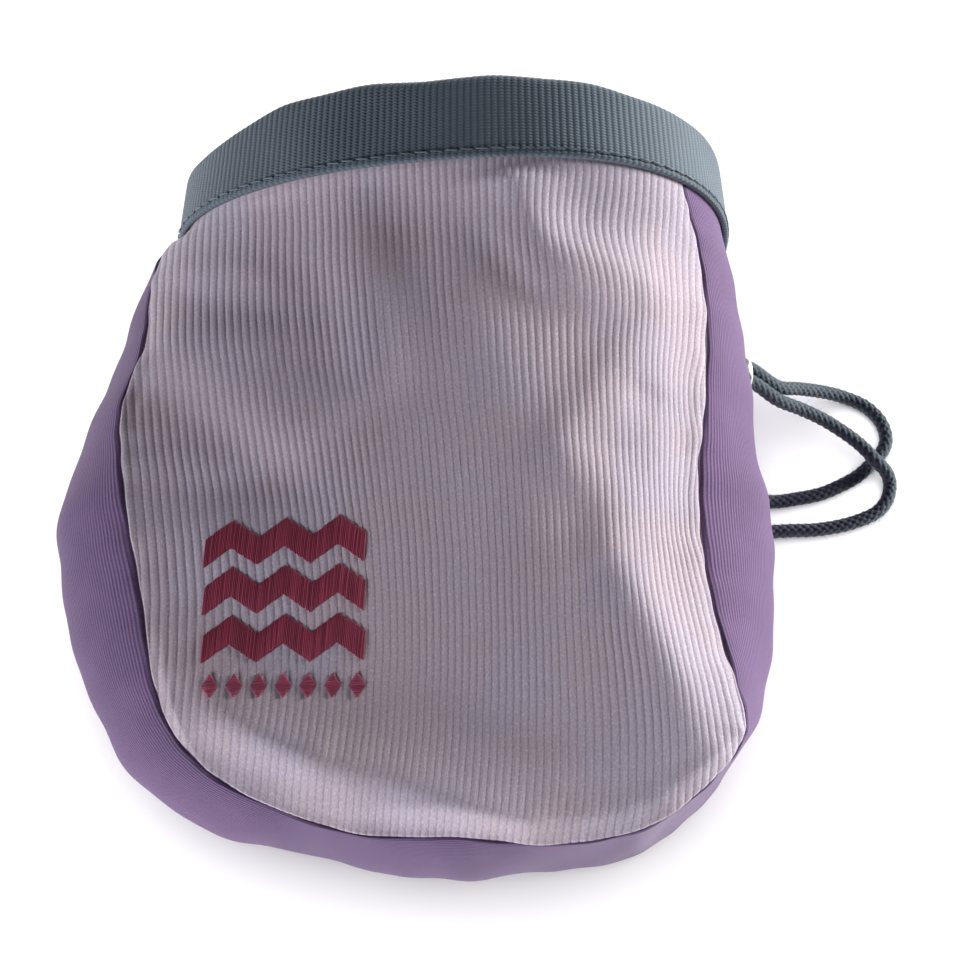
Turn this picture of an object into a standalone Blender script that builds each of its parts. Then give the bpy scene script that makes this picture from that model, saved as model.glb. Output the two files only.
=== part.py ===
"""A climbing chalk bag lying on its back.

Its front panel is up, its closed end is at -Y and its mouth is at +Y. The origin is in the middle of the bag,
on the surface that it lies on. Everything is worked out from the sizes below, in metres.
"""
import math

import bmesh
import bpy
from mathutils import Matrix, Vector

# Driving sizes
BODY_WIDTH = 0.1645
BODY_LENGTH = 0.1518
SEAM_HEIGHT = 0.054
RIM_WIDTH = 0.1334
RIM_HEIGHT = 0.077
BAND_WIDTH = 0.0195
CLOTH = 0.0015
WEBBING = 0.0013
GAP = 0.0003
EYELET_BORE = 0.0072
EYELET_FLANGE = 0.0012
EYELET_METAL = 0.0005
CORD = 0.0033
KNOT = 0.0084

# Form of the body, as shares and angles
RIM_SHIFT = 0.1                # of the body's half width, towards +X
RIM_WAIST = 0.31               # height of the rim's widest place, of its height
RIM_LEAN = 0.15                # how much higher the rim's arch is on its +X side
RIM_TAPER = 0.975              # the mouth's edge, of the rim at the band's lower edge
RIM_DIP = 0.16                 # how far the mouth's edge stays back at its sides, of the band's width
ARCH_ROUNDNESS = 2.3
BASE_ROUNDNESS = 3.0
WIDEST_LEVEL = 0.56            # height of the gusset's widest line, of its front seam's
BACK_SEAM_LEVEL = 0.13
GUSSET_FULLNESS = 0.8
CROWN = 0.06                   # of the seam height
SEAM_MARGIN = 1.1              # of the room that two walls need where they meet at an angle
FLAT_FROM = 0.16               # of the back panel's sides, from its seam to where it lies flat
FRONT_SEAM_TURNS = (162, 38)   # degrees round the rim from +X, left and right
BACK_SEAM_TURNS = (218, 322)

# The seam between the front panel and the gusset, from the left of the mouth round the closed end to the right.
# x and widest_x are shares of half the width, y and widest_y of the length below the band, height of SEAM_HEIGHT.
STATION_COLUMNS = ("x", "y", "height", "widest_x", "widest_y")
STATIONS = (
    (-0.728, 0.050, 0.78, -0.760, 0.050),
    (-0.754, 0.131, 0.85, -0.825, 0.131),
    (-0.753, 0.224, 0.93, -0.870, 0.224),
    (-0.801, 0.327, 0.98, -0.937, 0.327),
    (-0.793, 0.415, 1.00, -0.974, 0.415),
    (-0.759, 0.522, 1.00, -1.000, 0.522),
    (-0.714, 0.640, 0.98, -0.955, 0.645),
    (-0.675, 0.755, 0.94, -0.865, 0.765),
    (-0.592, 0.838, 0.91, -0.728, 0.871),
    (-0.434, 0.900, 0.87, -0.510, 0.937),
    (-0.158, 0.954, 0.85, -0.180, 0.974),
    (0.128, 0.960, 0.85, 0.128, 1.000),
    (0.389, 0.971, 0.85, 0.385, 0.980),
    (0.622, 0.947, 0.87, 0.618, 0.943),
    (0.779, 0.890, 0.91, 0.766, 0.881),
    (0.879, 0.818, 0.93, 0.895, 0.811),
    (0.857, 0.740, 0.94, 0.965, 0.740),
    (0.804, 0.639, 0.96, 0.992, 0.639),
    (0.777, 0.535, 0.98, 1.000, 0.535),
    (0.776, 0.428, 0.98, 0.993, 0.428),
    (0.798, 0.319, 0.98, 0.968, 0.319),
    (0.809, 0.195, 1.00, 0.940, 0.195),
    (0.789, 0.086, 1.04, 0.918, 0.086),
)
LOWER_LEFT = 9.3               # where along the stations the front panel's lower corners are
LOWER_RIGHT = 16.0

# Folds of the front panel: a ridge where rise is positive and a dent where it is negative. across and down say
# where, as shares of the panel. length and breadth are shares of half the width, rise of SEAM_HEIGHT, turn degrees.
FOLD_COLUMNS = ("across", "down", "length", "breadth", "turn", "rise")
FOLDS = (
    (0.74, 0.10, 0.26, 0.075, -29, 0.045),
    (0.70, 0.19, 0.20, 0.090, -15, -0.080),
    (0.68, 0.27, 0.26, 0.080, -8, 0.035),
    (0.60, 0.04, 0.09, 0.120, 0, -0.045),
    (0.90, 0.63, 0.38, 0.100, -66, 0.055),
    (0.75, 0.72, 0.36, 0.110, -48, -0.070),
    (0.24, 0.31, 0.36, 0.090, -36, -0.055),
    (0.12, 0.36, 0.28, 0.080, -50, 0.040),
    (0.40, 0.18, 0.16, 0.200, 0, 0.030),
    (0.45, 0.55, 0.30, 0.160, -60, -0.030),
    (0.16, 0.83, 0.24, 0.070, 15, 0.030),
)

# The drawcord's route, point by point: where each strand lies once it has left the eyelet
UPPER_STRAND = (
    (0.0871, 0.0346, 0.0165), (0.0936, 0.0361, 0.0108), (0.1003, 0.0371, 0.0058), (0.1063, 0.0367, 0.0026),
    (0.1113, 0.0346, 0.0017), (0.1146, 0.0309, 0.0017), (0.1158, 0.0267, 0.0017), (0.1149, 0.0233, 0.0017),
    (0.1120, 0.0199, 0.0017), (0.1083, 0.0165, 0.0017), (0.1037, 0.0139, 0.0017), (0.0987, 0.0118, 0.0017),
    (0.0930, 0.0106, 0.0017), (0.0875, 0.0098, 0.0018), (0.0822, 0.0098, 0.0028),
)
LOWER_STRAND = (
    (0.0869, 0.0310, 0.0172), (0.0931, 0.0303, 0.0125), (0.0991, 0.0287, 0.0092), (0.1047, 0.0258, 0.0072),
    (0.1089, 0.0227, 0.0062), (0.1120, 0.0194, 0.0056), (0.1149, 0.0168, 0.0039), (0.1160, 0.0141, 0.0020),
    (0.1151, 0.0103, 0.0017), (0.1125, 0.0072, 0.0017), (0.1082, 0.0051, 0.0017), (0.1032, 0.0036, 0.0017),
    (0.0970, 0.0026, 0.0017), (0.0909, 0.0024, 0.0017), (0.0860, 0.0021, 0.0018), (0.0826, 0.0018, 0.0028),
)
KNOT_PLACE = (0.0758, 0.0062)
EYELET_STATION = 21.92         # along the stations, and across the gusset from its front seam
EYELET_ACROSS = 0.66

# Mesh fineness
COLUMNS = 24                   # of the front and the back panel
ROWS = 24
GUSSET_COLUMNS = 7
TUCK_ROWS = 1
CORD_STEP = 2.0                # diameters between a tube's points

# What follows from the sizes
HALF_WIDTH = BODY_WIDTH / 2
MOUTH_Y = (BODY_LENGTH + BAND_WIDTH) / 2
BAND_LOW_Y = MOUTH_Y - BAND_WIDTH
CUFF_Y = BAND_LOW_Y - 2 * GAP
CHANNEL = CLOTH + 2 * GAP
PANEL_TOP_Y = MOUTH_Y - WEBBING - CHANNEL / 2 - GAP
SKIN = GAP + WEBBING           # from the rim's cloth to the band's outer face
LAST_STATION = len(STATIONS) + 1


def ramp(share):
    """A smooth step from 0 to 1."""
    share = min(max(share, 0.0), 1.0)
    return share * share * (3 - 2 * share)


def through(points, place):
    """A point on the smooth curve through points; place counts from 0 at the first one."""
    first = min(max(int(place), 0), len(points) - 2)
    part = place - first
    here, there = points[first], points[first + 1]
    before = points[first - 1] if first else 2 * here - there
    after = points[first + 2] if first + 2 < len(points) else 2 * there - here
    rise = (there - before) / 2
    fall = (after - here) / 2
    bend = 2 * (here - there) + rise + fall
    return here + part * (rise + part * (3 * (there - here) - 2 * rise - fall + part * bend))


def power(value, exponent):
    """A value raised to an exponent, keeping its sign."""
    return math.copysign(abs(value) ** exponent, value)


def rim_outline(turn, taper):
    """The rim's cloth at an angle in degrees, as x and z: an arch over a base that lies flat."""
    across, up = math.cos(math.radians(turn)), math.sin(math.radians(turn))
    waist = RIM_WAIST * RIM_HEIGHT
    half = RIM_WIDTH / 2 - SKIN
    roundness = ARCH_ROUNDNESS if up > 0 else BASE_ROUNDNESS
    reach = RIM_HEIGHT - SKIN - waist if up > 0 else waist - SKIN
    x = half * power(across, 2 / roundness) * taper
    rise = power(up, 2 / roundness)
    z = waist + reach * rise + RIM_LEAN * x * max(rise, 0)
    return RIM_SHIFT * HALF_WIDTH + x, z


def rim_point(turn, y, out=0.0):
    """A point of the rim at an angle and a place along Y, moved out from the cloth."""
    share = (y - BAND_LOW_Y) / BAND_WIDTH
    taper = 1 - (1 - RIM_TAPER) * share
    dip = RIM_DIP * BAND_WIDTH * share * math.cos(math.radians(turn)) ** 2 if share > 0 else 0.0
    x, z = rim_outline(turn, taper)
    ahead, behind = rim_outline(turn + 0.5, taper), rim_outline(turn - 0.5, taper)
    along = Vector((ahead[0] - behind[0], 0, ahead[1] - behind[1])).normalized()
    return Vector((x, y - dip, z)) + Vector((along.z, 0, -along.x)) * out


def station(row):
    """A table row as its front seam point and the gusset's widest point."""
    cell = dict(zip(STATION_COLUMNS, row))
    height = cell["height"] * SEAM_HEIGHT
    seam = Vector((cell["x"] * HALF_WIDTH, BAND_LOW_Y - cell["y"] * BODY_LENGTH, height))
    widest = Vector((cell["widest_x"] * HALF_WIDTH, BAND_LOW_Y - cell["widest_y"] * BODY_LENGTH,
                     height * WIDEST_LEVEL))
    return seam, widest


def gusset_turns(side):
    """The angles round the rim that the gusset spans, on the left (0) or the right (1)."""
    return FRONT_SEAM_TURNS[side], BACK_SEAM_TURNS[side] - 360 * side


def gusset_section(index, across):
    """The gusset at a whole station: across runs from 0 at the front seam to 1 at the back seam."""
    if index in (0, LAST_STATION):
        start, end = gusset_turns(min(index, 1))
        return rim_point(start + (end - start) * across, CUFF_Y)
    seam, widest = station(STATIONS[index - 1])
    out = power(math.sin(math.pi * across), GUSSET_FULLNESS) if 0 < across < 1 else 0.0
    low = seam.z * BACK_SEAM_LEVEL
    point = seam.lerp(widest, out)
    point.z = seam.z + (low - seam.z) * across
    return point


def gusset_point(place, across):
    """The gusset's outer face at any place along its stations."""
    return through([gusset_section(index, across) for index in range(LAST_STATION + 1)], place)


def coons(across, down, top, bottom, left, right):
    """The surface between four curves, each a function of its share."""
    corners = (top(0) * (1 - across) + top(1) * across) * (1 - down)
    corners += (bottom(0) * (1 - across) + bottom(1) * across) * down
    lengthwise = top(across) * (1 - down) + bottom(across) * down
    sideways = left(down) * (1 - across) + right(down) * across
    return lengthwise + sideways - corners


def panel_point(across, down, seam, turns):
    """A panel's surface between the rim and its seam."""
    start, end = turns
    return coons(
        across, down,
        lambda share: rim_point(start + (end - start) * share, CUFF_Y),
        lambda share: seam(LOWER_LEFT + (LOWER_RIGHT - LOWER_LEFT) * share),
        lambda share: seam(LOWER_LEFT * share),
        lambda share: seam(LAST_STATION + (LOWER_RIGHT - LAST_STATION) * share),
    )


def fold_rise(across, down):
    """How far the folds lift the front panel, at shares of its width and length."""
    total = 0.0
    for row in FOLDS:
        cell = dict(zip(FOLD_COLUMNS, row))
        x = (across - cell["across"]) * 2
        y = (cell["down"] - down) * BODY_LENGTH / HALF_WIDTH
        turn = math.radians(cell["turn"])
        lengthwise = (x * math.cos(turn) + y * math.sin(turn)) / cell["length"]
        sideways = (y * math.cos(turn) - x * math.sin(turn)) / cell["breadth"]
        total += cell["rise"] * SEAM_HEIGHT * math.exp(-lengthwise ** 2 - sideways ** 2)
    return total


def edge_fade(across, down, reach):
    """0 at a panel's edges and 1 from a share of its sides inwards."""
    return ramp(min(across, 1 - across, down, 1 - down) / reach)


def front_surface(across, down):
    """The front panel's outer face."""
    point = panel_point(across, down, lambda place: gusset_point(place, 0.0), FRONT_SEAM_TURNS)
    crown = CROWN * SEAM_HEIGHT * math.sin(math.pi * across) * math.sin(math.pi * down)
    point.z += crown + fold_rise(across, down) * edge_fade(across, down, 0.12)
    return point


def back_surface(across, down):
    """The back panel's outer face, flat where the bag lies on it."""
    point = panel_point(across, down, lambda place: gusset_point(place, 1.0), BACK_SEAM_TURNS)
    point.z *= 1 - edge_fade(across, down, FLAT_FROM)
    return point


def place_grid(name, columns, rows, place):
    """A mesh of a grid whose vertices a function places by column and row."""
    mesh = bpy.data.meshes.new(name)
    work = bmesh.new()
    bmesh.ops.create_grid(work, x_segments=columns, y_segments=rows, size=1.0)
    for vertex in work.verts:
        column = round((vertex.co.x + 1) / 2 * columns)
        row = round((vertex.co.y + 1) / 2 * rows)
        vertex.co = place(column, row)
    bmesh.ops.remove_doubles(work, verts=work.verts, dist=1e-6)
    bmesh.ops.recalc_face_normals(work, faces=work.faces)
    work.to_mesh(mesh)
    work.free()
    return mesh


def outward(mesh):
    """Turns an open shell's faces away from the middle of the bag."""
    middle = Vector((0, 0, RIM_WAIST * RIM_HEIGHT))
    facing = sum(face.normal.dot(face.center - middle) * face.area for face in mesh.polygons)
    if facing < 0:
        mesh.flip_normals()


def material(name, colour, roughness, metallic=0.0):
    """A plain material."""
    made = bpy.data.materials.new(name)
    made.use_nodes = True
    made.diffuse_color = (*colour, 1)
    surface = made.node_tree.nodes["Principled BSDF"]
    surface.inputs["Base Color"].default_value = (*colour, 1)
    surface.inputs["Roughness"].default_value = roughness
    surface.inputs["Metallic"].default_value = metallic
    return made


def add(name, data, collection, finish):
    """An object in a collection, with its material."""
    made = bpy.data.objects.new(name, data)
    made.data.materials.append(finish)
    collection.objects.link(made)
    return made


def cloth_shell(name, mesh, collection, finish):
    """A wall of cloth whose outer face is the mesh."""
    outward(mesh)
    made = add(name, mesh, collection, finish)
    shell = made.modifiers.new("cloth", "SOLIDIFY")
    shell.thickness = CLOTH
    shell.offset = -1
    return made


def seam_places():
    """Where along the stations both panels' edges have their points."""
    left = [LOWER_LEFT * row / ROWS for row in range(ROWS)]
    closed_end = [LOWER_LEFT + (LOWER_RIGHT - LOWER_LEFT) * column / COLUMNS for column in range(COLUMNS)]
    right = [LOWER_RIGHT + (LAST_STATION - LOWER_RIGHT) * row / ROWS for row in range(ROWS + 1)]
    return left + closed_end + right


def seam_cell(count):
    """The panel's edge column and row at a point of the seam, counted from the left of the rim."""
    if count <= ROWS:
        return 0, count
    if count <= ROWS + COLUMNS:
        return count - ROWS, ROWS
    return COLUMNS, 2 * ROWS + COLUMNS - count


def seam_gap(count, surface, edge):
    """How far both cloths stand back from their seam, so that their inner corners clear each other."""
    column, row = seam_cell(count)
    place = seam_places()[count]
    seam = gusset_point(place, edge)
    panel = surface(min(max(column, 1), COLUMNS - 1) / COLUMNS, min(max(row, 1), ROWS - 1) / ROWS)
    strip = gusset_point(place, abs(edge - 1 / GUSSET_COLUMNS))
    angle = (panel - seam).angle(strip - seam)
    return GAP / 2 + SEAM_MARGIN * CLOTH / math.tan(angle / 2)


def stand_back(edge, inner, gap):
    """An edge's point, moved towards the point inside it."""
    return edge + (inner - edge).normalized() * gap


def build_panel(name, surface, turns, edge, collection, finish):
    """The front or the back panel, from its top inside the band to its seam."""
    gaps = {seam_cell(count): seam_gap(count, surface, edge) for count in range(len(seam_places()))}

    def place(column, row):
        across = column / COLUMNS
        if row < TUCK_ROWS:
            return rim_point(turns[0] + (turns[1] - turns[0]) * across, PANEL_TOP_Y)
        return surface(across, (row - TUCK_ROWS) / ROWS)

    def trimmed(column, row):
        inner = min(max(column, 1), COLUMNS - 1), min(row, ROWS + TUCK_ROWS - 1)
        if inner == (column, row):
            return place(column, row)
        return stand_back(place(column, row), place(*inner), gaps[column, max(row - TUCK_ROWS, 0)])

    mesh = place_grid(name, COLUMNS, ROWS + TUCK_ROWS, trimmed)
    return cloth_shell(name, mesh, collection, finish)


def build_gusset(collection, finish, cutters):
    """The strip round the sides and the closed end, with the eyelet's hole."""
    places = seam_places()
    last = len(places) - 1
    total = last + 2 * TUCK_ROWS
    surfaces = {0: (front_surface, 0.0), GUSSET_COLUMNS: (back_surface, 1.0)}
    gaps = {column: [seam_gap(count, *surfaces[column]) for count in range(last + 1)] for column in surfaces}

    def place(column, row):
        across = column / GUSSET_COLUMNS
        if TUCK_ROWS <= row <= total - TUCK_ROWS:
            return gusset_point(places[row - TUCK_ROWS], across)
        start, end = gusset_turns(0 if row < TUCK_ROWS else 1)
        return rim_point(start + (end - start) * across, PANEL_TOP_Y)

    def trimmed(column, row):
        if column not in gaps:
            return place(column, row)
        gap = gaps[column][min(max(row - TUCK_ROWS, 0), last)]
        return stand_back(place(column, row), place(min(max(column, 1), GUSSET_COLUMNS - 1), row), gap)

    mesh = place_grid("gusset", GUSSET_COLUMNS, total, trimmed)
    made = cloth_shell("gusset", mesh, collection, finish)
    radius = EYELET_BORE / 2 + EYELET_METAL + GAP
    bpy.ops.mesh.primitive_cylinder_add(radius=radius, depth=8 * CLOTH, vertices=24)
    cutter = bpy.context.object
    cutter.name = "eyelet_hole_cutter"
    cutter.matrix_world = eyelet_frame()
    cutter.display_type = "WIRE"
    cutter.hide_render = True
    for owner in list(cutter.users_collection):
        owner.objects.unlink(cutter)
    cutters.objects.link(cutter)
    hole = made.modifiers.new("eyelet_hole", "BOOLEAN")
    hole.operation = "DIFFERENCE"
    hole.object = cutter
    return made


def rim_turns():
    """The angles where the panels' own grids meet the rim, once round."""
    spans = (
        (FRONT_SEAM_TURNS[1], FRONT_SEAM_TURNS[0], COLUMNS),
        (FRONT_SEAM_TURNS[0], BACK_SEAM_TURNS[0], GUSSET_COLUMNS),
        (BACK_SEAM_TURNS[0], BACK_SEAM_TURNS[1], COLUMNS),
        (BACK_SEAM_TURNS[1], FRONT_SEAM_TURNS[1] + 360, GUSSET_COLUMNS),
    )
    turns = []
    for start, end, count in spans:
        turns += [start + (end - start) * step / count for step in range(count)]
    return turns


def band_profile():
    """The band's section folded over the cloth's edge, as distances out from the cloth and places along Y."""
    middle = -CLOTH / 2
    outer, inner = middle + CHANNEL / 2 + WEBBING, middle - CHANNEL / 2 - WEBBING
    crown_y = MOUTH_Y - CHANNEL / 2 - WEBBING
    half_way = (BAND_LOW_Y + crown_y) / 2
    fold = [(middle + (CHANNEL / 2 + WEBBING) * math.cos(turn), crown_y + (CHANNEL / 2 + WEBBING) * math.sin(turn))
            for turn in (math.pi * step / 4 for step in range(5))]
    channel = [(middle - CHANNEL / 2 * math.cos(turn), crown_y + CHANNEL / 2 * math.sin(turn))
               for turn in (0, math.pi / 2, math.pi)]
    return [(outer, BAND_LOW_Y), (outer, half_way), *fold, (inner, half_way), (inner, BAND_LOW_Y),
            (inner + WEBBING, BAND_LOW_Y), *channel, (outer - WEBBING, BAND_LOW_Y)]


def build_band(collection, finish):
    """The webbing folded over the mouth's edge."""
    turns = rim_turns()
    profile = band_profile()

    def place(column, row):
        out, y = profile[column % len(profile)]
        return rim_point(turns[row % len(turns)], y, out)

    return add("rim_band", place_grid("rim_band", len(profile), len(turns), place), collection, finish)


def eyelet_frame():
    """The eyelet's place on the gusset: its Z axis points out of the cloth and its X axis along the strip."""
    step = 0.02
    centre = gusset_point(EYELET_STATION, EYELET_ACROSS)
    along = gusset_point(EYELET_STATION + step, EYELET_ACROSS) - gusset_point(EYELET_STATION - step, EYELET_ACROSS)
    across = gusset_point(EYELET_STATION, EYELET_ACROSS + step) - gusset_point(EYELET_STATION, EYELET_ACROSS - step)
    out = along.cross(across).normalized()
    if out.x < 0:
        out.negate()
    along.normalize()
    side = out.cross(along)
    return Matrix.Translation(centre) @ Matrix((along, side, out)).transposed().to_4x4()


def build_eyelet(collection, finish):
    """A pressed ring with a flange on both faces of the cloth, turned from its section."""
    bore = EYELET_BORE / 2
    barrel = bore + EYELET_METAL
    rim = barrel + EYELET_FLANGE
    top = GAP
    bottom = -CLOTH - 4 * GAP
    profile = [
        (bore, top + EYELET_METAL * 1.5), (barrel + EYELET_FLANGE / 2, top + EYELET_METAL * 1.7),
        (rim, top + EYELET_METAL / 2), (rim, top), (barrel, top), (barrel, bottom), (rim, bottom),
        (rim, bottom - EYELET_METAL), (bore, bottom - EYELET_METAL),
    ]
    mesh = bpy.data.meshes.new("eyelet")
    section = bmesh.new()
    corners = [section.verts.new((radius, 0, height)) for radius, height in profile]
    for corner, following in zip(corners, corners[1:] + corners[:1]):
        section.edges.new((corner, following))
    section.to_mesh(mesh)
    section.free()
    made = add("eyelet", mesh, collection, finish)
    made.matrix_world = eyelet_frame()
    turned = made.modifiers.new("turned", "SCREW")
    turned.steps = 24
    turned.render_steps = 24
    turned.use_merge_vertices = True
    turned.merge_threshold = 0.00001
    turned.use_normal_calculate = True
    return made


def build_strand(name, route, side, collection, finish):
    """One strand of the drawcord, from the eyelet's bore to the knot."""
    frame = eyelet_frame()
    lane = side * (CORD + GAP / 2) / 2
    start = [frame @ Vector((lane, 0, height)) for height in (-CLOTH, EYELET_METAL + CORD)]
    route = start + [Vector(point) for point in route]
    knot = Vector((*KNOT_PLACE, KNOT / 2))
    last = route[-1]
    route.append(knot + (last - knot).normalized() * (KNOT / 2 + 2 * GAP))
    fine = [through(route, place / 20) for place in range(20 * (len(route) - 1) + 1)]
    step = CORD * CORD_STEP
    points = [fine[0]]
    for point in fine:
        if (point - points[-1]).length >= step:
            points.append(point)
    points[-1] = fine[-1]
    curve = bpy.data.curves.new(name, "CURVE")
    curve.dimensions = "3D"
    curve.bevel_depth = CORD / 2
    curve.bevel_resolution = 2
    curve.use_fill_caps = True
    spline = curve.splines.new("POLY")
    spline.points.add(len(points) - 1)
    for slot, point in zip(spline.points, points):
        slot.co = (*point, 1)
    return add(name, curve, collection, finish)


def build_knot(collection, finish):
    """The knot that joins the two strands, under the bag's side."""
    mesh = bpy.data.meshes.new("cord_knot")
    ball = bmesh.new()
    bmesh.ops.create_uvsphere(ball, u_segments=14, v_segments=8, radius=KNOT / 2)
    ball.to_mesh(mesh)
    ball.free()
    made = add("cord_knot", mesh, collection, finish)
    made.location = (*KNOT_PLACE, KNOT / 2)
    return made


def main():
    """Builds the bag."""
    for old in list(bpy.data.objects):
        bpy.data.objects.remove(old)
    bag = bpy.data.collections.new("chalk_bag")
    cutters = bpy.data.collections.new("chalk_bag_cutters")
    for collection in (bag, cutters):
        bpy.context.scene.collection.children.link(collection)
    corduroy = material("lavender_corduroy", (0.52, 0.43, 0.53), 0.9)
    twill = material("purple_twill", (0.23, 0.13, 0.29), 0.85)
    webbing = material("slate_webbing", (0.06, 0.08, 0.1), 0.7)
    cord = material("slate_cord", (0.05, 0.06, 0.08), 0.75)
    metal = material("silver_metal", (0.75, 0.74, 0.72), 0.3, 1.0)
    build_panel("front_panel", front_surface, FRONT_SEAM_TURNS, 0.0, bag, corduroy)
    build_gusset(bag, twill, cutters)
    build_panel("back_panel", back_surface, BACK_SEAM_TURNS, 1.0, bag, twill)
    build_band(bag, webbing)
    build_eyelet(bag, metal)
    build_strand("drawcord_upper", UPPER_STRAND, 1, bag, cord)
    build_strand("drawcord_lower", LOWER_STRAND, -1, bag, cord)
    build_knot(bag, cord)


main()
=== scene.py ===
"""A climbing chalk bag lying on its back.

Its mouth is at +Y, its closed end at -Y and its drawcord out to +X. The cloth pieces repeat the shape
functions of the CAD source, on finer grids, and get their ribs, seams, folds, stitches and finishes here.
Lengths are in metres unless a name ends in _MM, and angles in degrees.
"""
import math
from functools import cache

import bpy
import numpy as np
from bpy.props import FloatProperty, FloatVectorProperty, IntProperty, PointerProperty
from bpy.types import Operator, Panel, PropertyGroup
from mathutils import Matrix, Vector
from mathutils.bvhtree import BVHTree
from mathutils.kdtree import KDTree


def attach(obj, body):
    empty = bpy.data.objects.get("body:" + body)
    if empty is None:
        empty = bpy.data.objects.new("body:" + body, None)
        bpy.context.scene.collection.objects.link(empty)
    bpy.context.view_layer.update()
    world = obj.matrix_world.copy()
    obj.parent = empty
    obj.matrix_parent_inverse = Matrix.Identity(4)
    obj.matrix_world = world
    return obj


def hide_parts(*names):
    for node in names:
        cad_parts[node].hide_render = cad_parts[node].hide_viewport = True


bl_info = {
    "name": "Chalk Bag",
    "version": (1, 0, 0),
    "blender": (4, 5, 0),
    "location": "View3D > Sidebar > Chalk Bag",
    "description": "Makes a climbing chalk bag of corduroy, twill and webbing, with its drawcord",
    "category": "Object",
}

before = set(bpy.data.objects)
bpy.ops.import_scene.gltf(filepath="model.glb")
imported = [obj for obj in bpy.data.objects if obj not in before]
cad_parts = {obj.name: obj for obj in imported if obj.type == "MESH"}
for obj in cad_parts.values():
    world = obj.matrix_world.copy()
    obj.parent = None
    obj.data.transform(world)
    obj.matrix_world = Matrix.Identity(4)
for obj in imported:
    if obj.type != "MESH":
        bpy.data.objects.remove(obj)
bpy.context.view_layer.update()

# Sizes of the CAD source
BODY_WIDTH = 0.1645
BODY_LENGTH = 0.1518
SEAM_HEIGHT = 0.054
RIM_WIDTH = 0.1334
RIM_HEIGHT = 0.077
BAND_WIDTH = 0.0195
CLOTH = 0.0015
WEBBING = 0.0013
GAP = 0.0003
EYELET_BORE = 0.0072
EYELET_FLANGE = 0.0012
EYELET_METAL = 0.0005
CORD = 0.0033
KNOT = 0.0084
RIM_SHIFT = 0.1
RIM_WAIST = 0.31
RIM_LEAN = 0.15
RIM_TAPER = 0.975
RIM_DIP = 0.16
ARCH_ROUNDNESS = 2.3
BASE_ROUNDNESS = 3.0
WIDEST_LEVEL = 0.56
BACK_SEAM_LEVEL = 0.13
GUSSET_FULLNESS = 0.8
CROWN = 0.06
FLAT_FROM = 0.16
FRONT_SEAM_TURNS = (162, 38)
BACK_SEAM_TURNS = (218, 322)
STATIONS = (
    (-0.728, 0.050, 0.78, -0.760, 0.050),
    (-0.754, 0.131, 0.85, -0.825, 0.131),
    (-0.753, 0.224, 0.93, -0.870, 0.224),
    (-0.801, 0.327, 0.98, -0.937, 0.327),
    (-0.793, 0.415, 1.00, -0.974, 0.415),
    (-0.759, 0.522, 1.00, -1.000, 0.522),
    (-0.714, 0.640, 0.98, -0.955, 0.645),
    (-0.675, 0.755, 0.94, -0.865, 0.765),
    (-0.592, 0.838, 0.91, -0.728, 0.871),
    (-0.434, 0.900, 0.87, -0.510, 0.937),
    (-0.158, 0.954, 0.85, -0.180, 0.974),
    (0.128, 0.960, 0.85, 0.128, 1.000),
    (0.389, 0.971, 0.85, 0.385, 0.980),
    (0.622, 0.947, 0.87, 0.618, 0.943),
    (0.779, 0.890, 0.91, 0.766, 0.881),
    (0.879, 0.818, 0.93, 0.895, 0.811),
    (0.857, 0.740, 0.94, 0.965, 0.740),
    (0.804, 0.639, 0.96, 0.992, 0.639),
    (0.777, 0.535, 0.98, 1.000, 0.535),
    (0.776, 0.428, 0.98, 0.993, 0.428),
    (0.798, 0.319, 0.98, 0.968, 0.319),
    (0.809, 0.195, 1.00, 0.940, 0.195),
    (0.789, 0.086, 1.04, 0.918, 0.086),
)
LOWER_LEFT = 9.3
LOWER_RIGHT = 16.0
UPPER_STRAND = (
    (0.0871, 0.0346, 0.0165), (0.0936, 0.0361, 0.0108), (0.1003, 0.0371, 0.0058), (0.1063, 0.0367, 0.0026),
    (0.1113, 0.0346, 0.0017), (0.1146, 0.0309, 0.0017), (0.1158, 0.0267, 0.0017), (0.1149, 0.0233, 0.0017),
    (0.1120, 0.0199, 0.0017), (0.1083, 0.0165, 0.0017), (0.1037, 0.0139, 0.0017), (0.0987, 0.0118, 0.0017),
    (0.0930, 0.0106, 0.0017), (0.0875, 0.0098, 0.0018), (0.0822, 0.0098, 0.0028),
)
LOWER_STRAND = (
    (0.0869, 0.0310, 0.0172), (0.0931, 0.0303, 0.0125), (0.0991, 0.0287, 0.0092), (0.1047, 0.0258, 0.0072),
    (0.1089, 0.0227, 0.0062), (0.1120, 0.0194, 0.0056), (0.1149, 0.0168, 0.0039), (0.1160, 0.0141, 0.0020),
    (0.1151, 0.0103, 0.0017), (0.1125, 0.0072, 0.0017), (0.1082, 0.0051, 0.0017), (0.1032, 0.0036, 0.0017),
    (0.0970, 0.0026, 0.0017), (0.0909, 0.0024, 0.0017), (0.0860, 0.0021, 0.0018), (0.0826, 0.0018, 0.0028),
)
KNOT_PLACE = (0.0758, 0.0062)
EYELET_STATION = 21.92
EYELET_ACROSS = 0.66

# What follows from those sizes
HALF_WIDTH = BODY_WIDTH / 2
MOUTH_Y = (BODY_LENGTH + BAND_WIDTH) / 2
BAND_LOW_Y = MOUTH_Y - BAND_WIDTH
CUFF_Y = BAND_LOW_Y - 2 * GAP
CHANNEL = CLOTH + 2 * GAP
PANEL_TOP_Y = MOUTH_Y - WEBBING - CHANNEL / 2 - GAP
SKIN = GAP + WEBBING
LAST_STATION = len(STATIONS) + 1

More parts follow.
